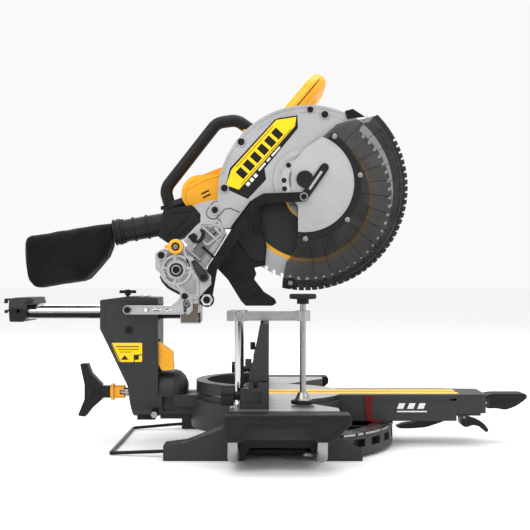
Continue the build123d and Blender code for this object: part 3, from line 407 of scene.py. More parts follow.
SILVER = rgb(170, 171, 173)
CASTING = rgb(44, 44, 46)
YELLOW = rgb(251, 174, 16)
INK = rgb(11, 11, 12)
RECIPES = (
    (casting, "dark_casting", CASTING, rgb(98, 98, 100)),
    (casting, "cast_silver", SILVER, rgb(214, 214, 215), 0.4),
    (brushed, "machined_alu", rgb(176, 177, 178), 0.36, (900, 60, 60)),
    (brushed, "steel", rgb(170, 169, 167), 0.3, (300, 300, 300)),
    (brushed, "chrome_steel", rgb(212, 213, 215), 0.1, (40, 900, 900), 0.01),
    (black_steel, "black_steel"),
    (plastic, "black_plastic", INK, (0.45, 0.62)),
    (plastic, "yellow_plastic", YELLOW, (0.32, 0.48), 0.1, rgb(255, 200, 100)),
    (plastic, "red_plastic", rgb(92, 0, 2), (0.6, 0.7), 0.05),
    (smoked, "smoked_clear"),
    (rubber, "black_rubber"),
    (cloth, "bag_cloth"),
    (brushed, "copper_core", rgb(140, 92, 62), 0.4, (60, 900, 60)),
    (table_casting, "wing_casting", 600 * MM),
    (table_casting, "disc_casting", 131.5 * MM),
    (blade_steel, "blade_steel"),
    (plastic, "label_yellow", rgb(252, 208, 18), (0.3, 0.42), 0.02),
    (plastic, "label_black", rgb(12, 12, 13), (0.3, 0.42), 0.02),
    (plastic, "label_white", rgb(225, 225, 222), (0.3, 0.42), 0.02),
    (casting, "silver_shadow", rgb(112, 113, 115), rgb(170, 171, 172), 0.2),
    # silver_recess: a darker silver tone, painted shade for shallow recesses
    (casting, "silver_recess", rgb(142, 143, 145), rgb(180, 181, 182), 0.3),
    (casting, "joint_shadow", rgb(58, 58, 60), rgb(96, 96, 98)),
    (brushed, "bright_zinc", rgb(226, 227, 228), 0.34, (300, 300, 300)),
    (rail_chrome, "rail_chrome"),
    (brushed, "tube_chrome", rgb(150, 151, 153), 0.16, (900, 40, 900), 0.01),
    (plastic, "kerf_yellow", rgb(252, 196, 52), (0.4, 0.55), 0.08, rgb(255, 222, 140)),
    (casting, "bronze_cast", rgb(92, 84, 74), rgb(150, 142, 130)),
)
MATERIALS = {name: make(name, *settings) for make, name, *settings in RECIPES}
# Nodes that wear another finish than their slot's
SPECIAL = {
    "turntable": "disc_casting",
    "base_casting": "wing_casting",
    "blade": "blade_steel",
    "kerf_plates": "kerf_yellow",
    "slide_rails": "rail_chrome",
    "tubes_left": "tube_chrome",
    "tubes_right": "tube_chrome",
    "housing_bolts": "black_steel",
}


# ---------------- geometry helpers, in millimetres

def polar(centre, radius, degrees):
    """A point on a circle in the X-Z plane."""
    turn = math.radians(degrees)
    return centre[0] + radius * math.cos(turn), centre[1] + radius * math.sin(turn)


def arc(centre, radius, start, end, count=24):
    """Points along an arc in the X-Z plane; angles in degrees."""
    return [polar(centre, radius, start + (end - start) * i / count) for i in range(count + 1)]


def rounded(points, radius, count=4):
    """The outline with each corner turned into a short curve."""
    soft = []
    for i, corner in enumerate(points):
        corner = Vector(corner)
        before = Vector(points[i - 1]) - corner
        after = Vector(points[(i + 1) % len(points)]) - corner
        first = corner + before.normalized() * min(radius, before.length * 0.45)
        last = corner + after.normalized() * min(radius, after.length * 0.45)
        for step in range(count + 1):
            t = step / count
            soft.append(tuple(first * (1 - t) ** 2 + corner * 2 * t * (1 - t) + last * t ** 2))
    return soft


def slot_shape(start, end, width):
    """The outline of a slot with round ends."""
    a, b = Vector(start), Vector(end)
    angle = math.degrees(math.atan2(b.y - a.y, b.x - a.x))
    return arc(a, width / 2, angle + 90, angle + 270, 10) + arc(b, width / 2, angle - 90, angle + 90, 10)


def band(points, width):
    """The outline of a band of constant width along points in the X-Z plane."""
    path = [Vector(p) for p in points]
    left, right = [], []
    for i, point in enumerate(path):
        along = (path[min(i + 1, len(path) - 1)] - path[max(i - 1, 0)]).normalized()
        across = Vector((-along.y, along.x)) * (width / 2)
        left.append(tuple(point + across))
        right.append(tuple(point - across))
    return left + right[::-1]


def plate(outline, front, thickness, *holes):
    """A flat plate in X-Z, from its front face towards +Y, with holes."""
    loops = [outline, *holes]
    triangles = tessellate_polygon([[Vector((x, z, 0)) for x, z in loop] for loop in loops])
    points = [point for loop in loops for point in loop]
    count = len(points)
    verts = [(x, front, z) for x, z in points] + [(x, front + thickness, z) for x, z in points]
    faces = [tuple(t) for t in triangles] + [tuple(i + count for i in reversed(t)) for t in triangles]
    start = 0
    for loop in loops:
        for i in range(len(loop)):
            j = (i + 1) % len(loop)
            faces.append((start + i, start + j, start + j + count, start + i + count))
        start += len(loop)
    return verts, faces


def slab(points, radius, front, thickness):
    """A plate with rounded corners."""
    return plate(rounded(points, radius), front, thickness)


def tile(left, low, right, high, front, thickness):
    """A plain rectangular plate."""
    return plate([(left, low), (right, low), (right, high), (left, high)], front, thickness)


def strip(points, width, front, thickness):
    """A plate of constant width along points."""
    return plate(band(points, width), front, thickness)


def bars(lines, width, front, thickness, step=0.0):
    """A straight rib with round ends along each line; each stands one step prouder than the last."""
    return [plate(slot_shape(a, b, width), front - step * i, thickness) for i, (a, b) in enumerate(lines)]


def rings(loops, closed=False):
    """A skin over equal loops of points, with flat ends unless it closes on itself."""
    size = len(loops[0])
    verts = [tuple(point) for loop in loops for point in loop]
    faces = []
    for i in range(len(loops) if closed else len(loops) - 1):
        a, b = i * size, ((i + 1) % len(loops)) * size
        for j in range(size):
            k = (j + 1) % size
            faces.append((a + j, a + k, b + k, b + j))
    if not closed:
        faces.append(tuple(reversed(range(size))))
        faces.append(tuple(range((len(loops) - 1) * size, len(loops) * size)))
    return verts, faces


def turned(centre, profile, axis, count=32):
    """A turned solid from (radius, height) pairs along the axis. A radius may be a function of the angle."""
    turn = Vector(axis).to_track_quat("Z", "Y").to_matrix()
    loops = []
    for radius, height in profile:
        loop = []
        for i in range(count):
            a = TAU * i / count
            r = radius(a) if callable(radius) else radius
            loop.append(Vector(centre) + turn @ Vector((r * math.cos(a), r * math.sin(a), height)))
        loops.append(loop)
    return rings(loops)


def boss(x, z, y, profile, count=32):
    """A turned solid that stands on y and faces the operator's left, towards -Y."""
    return turned((x, y, z), profile, (0, -1, 0), count)


def ring(x, z, y, outer, inner, height):
    """A flat raised ring."""
    return boss(x, z, y, [(inner, 0), (outer, 0), (outer, height * 0.7), (outer - 0.4, height),
                          (inner + 0.3, height), (inner, height * 0.7), (inner, 0)], 40)


def lobed(radius, depth, lobes):
    """A radius that waves in and out around the axis."""
    return lambda angle: radius * (1 + depth * math.cos(lobes * angle))


def hexagon(radius):
    """A radius that follows a hexagon's sides."""
    side = TAU / 6
    return lambda angle: radius * math.cos(side / 2) / math.cos((angle % side) - side / 2)


def screw(x, z, y, radius, height):
    """A round head with a six-lobed socket."""
    socket = lobed(radius * 0.48, 0.16, 6)
    return boss(x, z, y, [(radius, 0), (radius, height * 0.75), (radius * 0.9, height), (socket, height),
                          (socket, height * 0.3), (0.01, height * 0.25)], 36)


def nut(x, z, y, radius, height, bore):
    """A chamfered hexagon with an open bore."""
    return boss(x, z, y, [(hexagon(radius), 0), (hexagon(radius), height * 0.85), (radius * 0.84, height),
                          (bore, height), (bore, height * 0.4), (0.01, height * 0.35)], 36)


def tube(points, radius, count=12):
    """A round bar along a path."""
    path = [Vector(p) for p in points]
    last = len(path) - 1
    loops, side = [], None
    for i, point in enumerate(path):
        along = (path[min(i + 1, last)] - path[max(i - 1, 0)]).normalized()
        side = (side or along.orthogonal()).normalized()
        side = (side - along * side.dot(along)).normalized()
        other = along.cross(side)
        turns = [TAU * j / count for j in range(count)]
        loops.append([point + side * radius * math.cos(a) + other * radius * math.sin(a) for a in turns])
    return rings(loops)


def smooth_path(points, steps=8):
    """A Catmull-Rom curve through the points."""
    path = [Vector(p) for p in points]
    path = [path[0] * 2 - path[1], *path, path[-1] * 2 - path[-2]]
    soft = []
    for a, b, c, d in zip(path, path[1:], path[2:], path[3:]):
        for step in range(steps):
            t = step / steps
            soft.append(0.5 * (2 * b + (c - a) * t + (2 * a - 5 * b + 4 * c - d) * t ** 2
                               + (3 * b - a - 3 * c + d) * t ** 3))
    return soft + [path[-2]]


def piece(body, name, slot, *solids, look=None, bevel=0.0, angle=35, replaced=None):
    """One object of one or more closed solids that rides on a CAD body."""
    verts, faces = [], []
    for solid_verts, solid_faces in solids:
        start = len(verts)
        verts += [tuple(c * MM for c in v) for v in solid_verts]
        faces += [tuple(i + start for i in face) for face in solid_faces]
    mesh = bpy.data.meshes.new(name)
    mesh.from_pydata(verts, [], faces)
    work = bmesh.new()
    work.from_mesh(mesh)
    bmesh.ops.remove_doubles(work, verts=work.verts, dist=0.00001)
    bmesh.ops.recalc_face_normals(work, faces=work.faces)
    work.to_mesh(mesh)
    work.free()
    mesh.shade_smooth()
    mesh.set_sharp_from_angle(angle=math.radians(angle))
    mesh.materials.append(MATERIALS[look or slot])
    obj = link(bpy.data.objects.new(name, mesh))
    if bevel:
        soft = obj.modifiers.new("soft edges", "BEVEL")
        soft.width = bevel * MM
        soft.segments = 2
        soft.limit_method = "ANGLE"
        soft.angle_limit = math.radians(40)
    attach(obj, body)
    if replaced:
        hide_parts(replaced)
    return obj


# The bodies that carry most of the pieces
head = partial(piece, "head")
carriage = partial(piece, "carriage")
lower_guard = partial(piece, "lower_guard")
housing = partial(piece, "bevel_housing")


def dress_nodes():
    """Every CAD node takes the material of its slot in the record."""
    for row in frame["record"]["subparts"]:
        node = frame["nodes"][row["node"]]
        node.data.materials.clear()
        node.data.materials.append(MATERIALS[SPECIAL.get(row["node"], row["material_slot"])])


# ---------------- blade guard and arm
# Each section's near is the Y of the CAD face that its details stand on.

def upper_guard_details():
    near = -26.0
    head("guard_seam", "cast_silver", strip(arc(ARBOR, 159.5, 52, 166, 60), 2.4, near - 1.2, 1.6), bevel=0.4)
    head("guard_inner_step", "cast_silver", strip(arc(ARBOR, 150, 60, 128, 40), 1.2, near - 0.7, 1.2),
        bevel=0.3)
    head("pivot_ring_step", "cast_silver", strip(arc(COVER_HUB, 47, 4, 214, 50), 3, -30.2, 1.6), bevel=0.5)
    bossed = ((-50, 541), (-80, 458), (100, 590))
    head("guard_screw_heads", "black_steel",
        *[screw(x, z, -28.2, 5.4, 2.1) for x, z in (*bossed, (74, 599), (-97, 419))])
    head("guard_screw_bosses", "cast_silver", *[ring(x, z, near, 8.4, 6.1, 3.2) for x, z in bossed])
    head("cover_screw_heads", "black_steel",
        *[screw(x, z, -28.9, 4.4, 1.4) for x, z in ((35, 499), (27, 472), (28, 457))])
    head("pivot_cover_face", "cast_silver", strip(arc(COVER_HUB, 37, 100, 222, 40), 17, -28.9, 3),
        look="bright_zinc", bevel=0.5)


def guard_label():
    """A plain striped label on the guard: bars only, with no lettering."""
    near = -26.0
    foot, top = Vector((-62, 459)), Vector((44, 577))
    along = (top - foot).normalized()
    across = Vector((along.y, -along.x))

    def bar(front, low, high, start, end):
        """A printed bar, from start to end up along the label and from low to high across it."""
        corners = ((start, low), (start, high), (end, high), (end, low))
        return plate([tuple(foot + along * u + across * v) for u, v in corners], front, 0.3)

    stripe = [(-79, 458), (-70, 494), (12, 583), (51, 589), (52, 566), (-8, 493), (-5, 474), (-38, 439)]
    field = [(-77, 464), (-67, 492), (13, 580.5), (49, 586), (46.5, 569.5), (-54, 455.5)]
    head("label_black", "black_plastic", plate(stripe, near - 0.3, 0.4), look="label_black")
    head("label_yellow", "yellow_plastic", plate(field, near - 0.6, 0.4), look="label_yellow")
    marks = [bar(near - 0.8, -17, 1.5, u, u + 13) for u in range(22, 128, 19)]
    head("label_lines", "black_plastic", bar(near - 0.8, -22.6, -21.6, 30, 128),
        bar(near - 0.8, 4.6, 5.6, 12, 146), *marks, look="label_black")
    blocks = [bar(near - 0.6, 10.5, 17, u, u + 7) for u in (18, 28, 38)]
    dashes = [bar(near - 0.6, 10, 13.6, u, u + width) for u, width in ((52, 18), (74, 9), (87, 22))]
    head("label_bars", "yellow_plastic", *blocks, *dashes, look="label_white")


def arm_details():
    near = -24.0
    oval = [((-101, 414), (-94, 423))]
    head("arm_boss", "cast_silver", *bars(oval, 20.5, near - 2.4, 3), bevel=0.9)
    head("arm_boss_joint", "cast_silver", *bars(oval, 23.5, near - 0.7, 1), look="joint_shadow")
    head("arm_web_joint", "cast_silver",
        strip([(-88, 410), (-80, 420.6), (-70, 422.6), (-52, 415)], 1.5, near - 2.9, 3),
        strip([(-96, 406.5), (-68, 384.5)], 1.4, near - 0.8, 1),
        strip([(-91.5, 397.6), (-111, 376)], 1.2, near - 0.7, 1), look="joint_shadow")
    head("arm_boss_ring", "cast_silver", ring(-97, 419, near - 2.2, 9.5, 6.6, 2.4))
    ribs = [((-118, 388), (-88, 360)), ((-135, 352), (-118, 384)), ((-124, 330), (-150, 352)),
        ((-96, 386), (-84, 372))]
    head("arm_ribs", "cast_silver", *bars(ribs, 3.6, near - 4, 4.8, 0.15), bevel=1.0)
    pockets = ([(-119, 391), (-104, 389), (-90, 384), (-104, 368), (-116, 370)],
        [(-112, 352), (-94, 366), (-80, 384), (-88, 388), (-104, 372)],
        [(-140, 340), (-124, 334), (-112, 350), (-120, 366), (-132, 356)])
    head("arm_pockets", "cast_silver", *[slab(pocket, 4, near - 0.4, 0.5) for pocket in pockets],
        look="silver_shadow")
    head("arm_cable_clip", "black_steel", *bars([((-118, 352), (-96, 332))], 4.4, near - 5.2, 5.4), bevel=0.7)
    outer = rounded([(-126, 398), (-104, 396), (-84, 392), (-80, 378), (-112, 352), (-128, 372)], 8)
    inner = rounded([(-121, 394), (-104, 392), (-87, 388), (-85, 380), (-111, 358), (-122, 373)], 6)
    head("arm_pocket_edge", "cast_silver", plate(outer, near - 1.4, 1.8, inner[::-1]), bevel=0.5)
    hook = [(-139, -29, 374), (-131, -30, 363), (-121, -30, 366), (-118, -30, 378), (-122, -29, 384)]
    head("hook_clip", "black_plastic", tube(smooth_path(hook), 3.1),
        slab([(-146, 372), (-134, 379), (-124, 366), (-134, 358)], 4, -27.6, 4.2), bevel=0.4)


# ---------------- lower guard and blade

def lower_guard_details():
    near = -33.0
    lower_guard("guard_band", "black_plastic", strip(arc(INNER_DISC, 94.5, -96, 62, 60), 13, near - 1.4, 1.5),
        bevel=0.4)
    lower_guard("guard_band_edges", "cast_silver",
        strip(arc(INNER_DISC, 87.2, -96, 66, 60), 1.6, near - 2.8, 1.4), bevel=0.3)
    rivets = ((117, 550), (163, 481), (140, 401), (65, 367))
    lower_guard("guard_rivets", "steel",
        *[boss(x, z, near - 1.2, [(4.6, 0), (4.6, 0.8), (3.2, 2.0), (0.01, 2.3)], 24) for x, z in rivets])
    rays = [(polar((64, 461), 104, turn), polar((64, 461), 168, turn)) for turn in range(-84, 49, 11)]
    lower_guard("guard_plate_ribs", "black_plastic", *bars(rays, 0.8, near - 0.7, 0.9),
        strip(arc((64, 459), 171, -88, 38, 70), 1.0, near - 0.8, 1.0),
        strip(arc((64, 459), 176, -88, 38, 70), 1.6, near - 1.4, 1.6))
    lower_guard("guard_slot_bracket", "black_plastic", *bars([((62, 441), (99, 494))], 15.5, -38.8, 1.0),
        bevel=0.4)
    lower_guard("guard_slot_line", "cast_silver", strip([(72, 455), (94, 487)], 4.2, -39.2, 0.6), bevel=0.2)
    lower_guard("guard_pivot_cap", "black_plastic",
        boss(*GUARD_PIVOT, -38.2, [(15.2, 0), (15.2, 0.9), (12.8, 1.5), (10.4, 1.5), (10, 0.9), (4.5, 0.9),
        (4.2, 1.4), (0.01, 1.5)], 48))
    lower_guard("roller_tyre", "black_rubber",
        boss(*ROLLER, -37, [(9.4, 0), (10.2, 0.8), (10.2, 2.4), (9.2, 3.2), (6.4, 3.2), (6.2, 2.6),
        (0.01, 2.6)], 40))
    lower_guard("roller_bolt", "steel", nut(*ROLLER, -39.6, 4.6, 3.2, 2.0))


def blade_details():
    tips = []
    for tooth in range(60):
        turn = TAU * tooth / 60 + 0.035
        along = Vector((math.cos(turn), math.sin(turn)))
        across = Vector((-along.y, along.x))
        centre = Vector(ARBOR) + along * 150.9
        corners = ((-2.4, -0.9), (1.3, -1.2), (1.1, 1.0), (-2.0, 0.6))
        tips.append(plate([tuple(centre + along * u + across * v) for u, v in corners], -1.45, 2.9))
    piece("blade", "carbide_tips", "steel", *tips)
    piece("blade", "arbor_bolt", "black_steel",
        boss(*ARBOR, -7.9, [(hexagon(9.4), 0), (hexagon(9.4), 3.2), (8, 4), (4.2, 4), (hexagon(4), 1.5),
        (0.01, 1.4)], 36))


def link_details():
    near = -44.0
    carriage("link_nut", "steel", nut(*LINK_FOOT, -50.6, 11.2, 2.2, 6.6), look="bright_zinc")
    carriage("link_bolt_end", "black_steel",
        boss(*LINK_FOOT, -50.7, [(6, 0), (6, 2.6), (3.4, 2.6), (3, 1), (0.01, 1)], 36))
    piece("guard_link", "link_foot_washer", "black_steel", ring(*LINK_FOOT, near, 13, 8, 0.5))
    piece("guard_link", "link_pin_ring", "machined_alu", ring(*LINK_PIN, near, 7.4, 5.2, 1.2))
    piece("guard_link", "link_pin_screw", "black_steel", screw(*LINK_PIN, near, 5, 2.4))
    piece("guard_link", "link_stiffener", "black_steel",
        strip([(-100, 318), (-60, 374), (-24, 427), (-8, 437), (46, 441)], 1.4, near - 0.7, 0.8), bevel=0.2)


# ---------------- carriage and rails

def cheek_details():
    near = -58.0
    carriage("pivot_bolt_face", "black_steel",
        boss(*PIVOT, -64, [(12, 0), (12, 2), (11, 2.6), (9.6, 2.6), (9.6, 2), (5.4, 2), (5.4, 3.4),
        (2.6, 3.4), (2.4, 2.2), (0.01, 2.2)], 48))
    carriage("pivot_bolt_ring", "machined_alu", ring(*PIVOT, -66, 8.8, 6, 1.4))
    spokes = [(polar(PIVOT, 15, turn), polar(PIVOT, 27, turn)) for turn in (8, 98, 170, 262)]
    carriage("hub_spokes", "cast_silver", *bars(spokes, 4, near - 3.6, 3.8), bevel=0.7)
    carriage("hub_hollows", "cast_silver",
        *[strip(arc(PIVOT, 21.4, start, start + 58, 16), 4.6, near - 0.8, 0.9) for start in (24, 112, 190)],
        look="silver_shadow", bevel=0.3)
    ribs = [((-149, 344), (-140, 318)), ((-140, 313), (-118, 289)), ((-138, 310), (-133, 310)),
        ((-180, 342), (-186, 318)), ((-161, 284), (-149, 269)), ((-125.6, 292), (-125.6, 266)),
        ((-188, 313), (-182, 300)), ((-150, 262), (-128, 262))]
    carriage("cheek_ribs", "cast_silver", *bars(ribs, 3.4, near - 3, 4, 0.15), bevel=0.9)
    # A thin plate in a darker silver tone: painted shade in the cheek's hollow
    hollow = [(-157.6, 292), (-145, 305.4), (-127.6, 290.6), (-127.6, 269.6), (-142, 269.6), (-153, 284)]
    carriage("cheek_hollow", "cast_silver", slab(hollow, 4, near - 0.5, 0.6), look="silver_recess")
    web = [(-181, 338), (-176, 342), (-152, 342), (-146, 326), (-158, 335), (-172, 335), (-181, 326)]
    carriage("cheek_upper_hollow", "cast_silver", slab(web, 3, near - 0.5, 0.6), look="silver_shadow")
    ear = [(-197, 338), (-197, 314), (-188, 304), (-186, 312), (-192, 320), (-192, 336)]
    carriage("cheek_ear_rim", "cast_silver", slab(ear, 3, near - 1.6, 2), bevel=0.6)
    carriage("ear_screw", "black_steel", screw(-189, 337, -64.8, 6, 1.8))
    carriage("cheek_lower_cover", "black_plastic",
        strip([(-191, 301), (-187, 291), (-178, 281), (-168, 275), (-156, 269)], 4.6, -56, 7.5), bevel=0.8)
    carriage("block_cover", "cast_silver",
        slab([(-154, 252), (-155, 219), (-126, 219), (-124, 252)], 3, near - 0.8, 1.2), look="bronze_cast",
        bevel=0.4)
    carriage("block_front_plate", "cast_silver",
        turned((-124.4, -34, 226), [(10, 0), (10, 2), (9, 2.6), (0.01, 2.6)], FORWARD, 4), look="bronze_cast",
        bevel=0.4)


def stop_and_pin_details():
    piece("depth_stop", "stop_hub_screw", "black_steel", screw(*STOP_HUB, -65.8, 5.2, 1.8))
    piece("depth_stop", "stop_hub_ring", "machined_alu", ring(*STOP_HUB, -65.4, 7.6, 5.8, 1.2),
        look="joint_shadow")
    piece("depth_stop", "stop_lever_web", "black_plastic",
        slab([(-121, 300), (-112, 306), (-129, 326), (-134, 323)], 3, -64.4, 1.6), bevel=0.5,
        look="dark_casting")
    piece("lock_pin", "pin_pull_ring", "yellow_plastic",
        boss(*LOCK_PIN, -64, [(9, 0), (12.8, 0), (12.8, 2.2), (11.6, 3), (8.6, 3), (7.4, 1.8), (7.2, 0),
        (9, 0)], 48))
    piece("lock_pin", "pin_end", "steel",
        boss(*LOCK_PIN, -64.2, [(4.6, 0), (4.6, 1.8), (hexagon(3.2), 1.8), (hexagon(3.2), 0.5), (0.01, 0.5)],
        36))
    piece("lock_pin", "pin_thumb_ridges", "yellow_plastic",
        *[tile(x, 349.6, x + 1, 354.4, -65, 1.2) for x in (-182, -179.6, -177.2)])


def strap_details():
    near = -61.0
    outer = rounded([(-254, 246), (-254, 236), (-140, 235), (-136, 241), (-136, 261), (-143, 270),
        (-151, 270), (-158, 256), (-171, 247)], 4)
    inner = rounded([(-252, 244.5), (-252, 237.5), (-141.5, 236.6), (-137.6, 242), (-137.6, 260),
        (-143.6, 268.2), (-150.2, 268.2), (-156.8, 254.6), (-170.4, 245.4)], 4)
    carriage("strap_rim", "cast_silver", plate(outer, near - 0.7, 0.9, inner[::-1]), bevel=0.2)
    carriage("strap_screws", "black_steel", screw(*STRAP_REAR, near - 3, 5.2, 1.8),
        screw(*STRAP_FRONT, near - 3, 4.8, 1.8))
    carriage("strap_washers", "machined_alu", ring(*STRAP_REAR, near, 8, 5.4, 1.2),
        ring(*STRAP_FRONT, near, 7, 5.3, 1.2), ring(-216.5, 241, near, 4.8, 3.5, 0.8))
    holes = (-199.3, -179)
    # White plates in the diamond holes and the round hole: painted light, standing in for the bright backdrop seen
    # through the openings
    see_through_light = [slab([(x - 6.6, 241), (x, 244.4), (x + 6.6, 241), (x, 237.6)], 2, near - 0.3, 0.5)
        for x in holes]
    carriage("strap_hole_edges", "cast_silver",
        plate(arc((-216.5, 241), 3.6, 0, 360, 24)[:-1], near - 0.3, 0.5), *see_through_light, look="label_white")
    lenses = [slab([(x - 5.4, z), (x, z + 1.3), (x + 5.4, z), (x, z - 1.3)], 1.6, near - 0.6, 0.5)
        for x, z in zip(holes, (240, 242))]
    carriage("strap_hole_shadows", "cast_silver", *lenses, look="joint_shadow")
    keyhole = [(-151, 257.5), (-139.4, 257.5), (-139.2, 249), (-144.2, 245), (-145, 237.4), (-149.8, 237.4)]
    carriage("strap_keyhole", "cast_silver", slab(keyhole, 3, near - 0.5, 0.7), look="joint_shadow")
    carriage("strap_key_lug", "cast_silver", ring(-144.6, 252, near - 0.4, 5, 2.4, 1.4), look="silver_shadow")


def rail_cap():
    """Moulded rear cap of the rails: a grey hood over a black foot, with two cable hooks."""
    near, wide = -48.0, 96.0
    foot = [(-461, 243), (-430.5, 243), (-429, 229), (-434, 219.2), (-459.6, 219.4)]
    hood = [(-461.4, 240), (-460.6, 260.6), (-448, 262.6), (-419.4, 262.9), (-416.4, 250), (-430.6, 249.6),
        (-430.6, 240)]
    hooks = ([(-458, 261), (-469, 260.6), (-469.8, 252), (-466.6, 252), (-466, 257.4), (-458, 257.4)],
        [(-458, 241.6), (-468.4, 240.6), (-469.6, 236), (-466.6, 234.2), (-465.6, 237.8), (-458, 238.2)])
    carriage("rail_cap_foot", "black_plastic", slab(foot, 3.5, near, wide), bevel=1.4,
        replaced="rail_end_cap")
    carriage("rail_cap_hood", "black_plastic", slab(hood, 2.6, near + 0.6, wide - 1.2), bevel=1.4,
        look="dark_casting", replaced="rail_end_cap")
    carriage("rail_cap_hooks", "black_plastic", *[slab(hook, 1.2, near + 2, 14) for hook in hooks], bevel=0.7,
        replaced="rail_end_cap")
    carriage("rail_cap_screw", "black_steel", ring(-444, 238.4, near, 5.2, 3, 1.4))
    # Black plates where the cap's vents open: painted shade inside the openings, in the black label finish
    carriage("rail_cap_vents", "black_plastic",
        *bars([((x, 252), (x + 6, 257)) for x in (-431, -425)], 2.6, near + 0.3, 0.6), look="label_black")
    carriage("rail_cap_ribs", "black_plastic",
        *bars([((-457, z), (-451, z)) for z in (236, 240)], 1.6, near - 0.9, 1.2), bevel=0.3)


# ---------------- bevel housing and its knobs

def housing_details():
    near = -44.0
    outline = rounded([(-292, 252), (-250, 258.5), (-203, 256.5), (-203, 160), (-236, 160), (-243, 130),
        (-262, 142), (-292, 206)], 5)
    inner = rounded([(-290.5, 250.6), (-250, 257), (-204.5, 255), (-204.5, 161.5), (-237, 161.5),
        (-244, 132.6), (-261, 143.4), (-290.5, 206.6)], 5)
    housing("housing_panel_line", "dark_casting", plate(outline, near - 0.8, 1, inner[::-1]), bevel=0.3)
    housing("housing_label", "yellow_plastic",
        slab([(-281, 182), (-225, 182), (-225, 148), (-266, 148)], 2, near - 0.4, 0.4), look="label_yellow")
    marks = ([(-272, 176), (-231, 176), (-231, 174.4), (-271, 174.4)],
        [(-269, 171), (-231, 171), (-231, 169.8), (-268, 169.8)],
        [(-266, 166.4), (-244, 166.4), (-244, 165.2), (-265, 165.2)], [(-256, 160), (-249, 152), (-263, 152)],
        [(-240, 161), (-231, 161), (-231, 152), (-240, 152)])
    housing("housing_label_marks", "black_plastic", *[plate(mark, near - 0.6, 0.3) for mark in marks],
        look="label_black")
    housing("housing_side_screw", "black_steel", screw(-249, 205, -46.8, 5.6, 1.8))
    housing("housing_screw_boss", "dark_casting", ring(-249, 205, near, 8.4, 5.8, 2))
    housing("housing_top_ribs", "dark_casting",
        *[tile(x, 257, x + 2.4, 264.8, -36, 72) for x in (-236, -222)], bevel=0.6)
    housing("adjusting_bolt", "steel", boss(-204, 54, -39,
        [(hexagon(6.4), 0), (hexagon(6.4), 3.6), (5.4, 4.2), (0.01, 4.2)], 36))
    piece("rail_lock_knob", "lock_knob_cap", "black_plastic",
        turned((-257, 0, 274.6), [(5, 0), (5, 1), (4, 1.6), (0.01, 1.8)], UP))
    ribs = [((-194, 170), (-180, 161)), ((-196, 162), (-180, 151)), ((-194, 151), (-180, 141))]
    piece("bevel_stop", "bevel_stop_ribs", "yellow_plastic", *bars(ribs, 2, -39.4, 1.6), bevel=0.5)
    piece("bevel_knob", "bevel_knob_skirt", "black_plastic",
        turned((-327, 0, 90.6), [(14, 0), (15.6, 3), (15.6, 7), (lobed(14.2, 0.05, 8), 10),
        (lobed(12.6, 0.05, 8), 22)], FORWARD, 48), bevel=0.5)


# ---------------- motor, handles and dust path

def drive_details():
    near = 27.0
    # Dark plates where the vent openings are: painted shade inside the openings, in the black label finish
    head("vent_slots", "yellow_plastic",
        *bars([((-124, 453), (-112, 459)), ((-121, 446), (-109, 452))], 2.8, near - 0.5, 0.8),
        look="label_black")
    ridges = ([(-150, 462), (-120, 478), (-78, 492)], arc(MOTOR, 27, 100, 260, 30),
        [(-131, 427), (-98, 432), (-76, 441)])
    head("case_ridges", "yellow_plastic", *[strip(ridge, 2, near - 1.2, 1.6) for ridge in ridges], bevel=0.6)
    # Black bars where the end vents open: painted shade inside the openings
    vents = [((x, z + low), (x, z + low - 5)) for x, z in ((-140, 466), (-128, 471), (-116, 466))
        for low in (-8, -18, -28)]
    head("motor_end_vents", "black_plastic", *bars(vents, 3.4, 149.2, 1.2), bevel=0.2)
    seam = smooth_path([(94, 33, 666), (60, 33, 626), (24, 33, 584), (-8, 35, 548)])
    head("handle_seam", "yellow_plastic", tube(seam, 0.9, 8), look="label_black")


def chute_details():
    near = -16.0
    head("chute_side_plate", "black_plastic",
        slab([(-46, 424), (-70, 384), (-62, 372), (-30, 330), (-8, 326), (-7, 354), (-17, 396), (-14, 422)],
        7, near - 2.2, 2.4), bevel=0.7)
    head("chute_screw", "black_steel", screw(-20, 384, near - 2.2, 8, 2.6))
    head("chute_screw_ring", "black_plastic", ring(-20, 384, near - 2.2, 11, 8.4, 1.4))
    ridges = [((-60, 372), (-24, 322)), ((-92, 336), (-66, 350)), ((-84, 312), (-60, 330)),
        ((-58, 282), (-34, 300)), ((-46, 262), (-16, 272))]
    head("chute_ridges", "black_rubber", *bars(ridges, 2.2, near - 1.2, 1.6), bevel=0.6)


def pipe_details():
    along = (Vector((-165, 0, 400)) - PIPE_END).normalized()
    collar = [(19, 0), (22.6, 0), (22.6, 2.2), (22, 2.8), (19, 2.8), (19, 0)]
    head("pipe_rings", "black_plastic",
        *[turned(PIPE_END + along * distance, collar, along, 56) for distance in (13.2, 33.2, 58, 92)])
    ribs = [((-186, 372), (-146, 408)), ((-178, 414), (-136, 420)), ((-172, 368), (-134, 400))]
    head("elbow_ribs", "black_plastic", *bars(ribs, 2.6, -21.8, 2.6), bevel=0.8)
    head("elbow_tab", "black_plastic", slab([(-196, 420), (-172, 424), (-172, 432), (-196, 427)], 2, -12, 8),
        bevel=0.5)


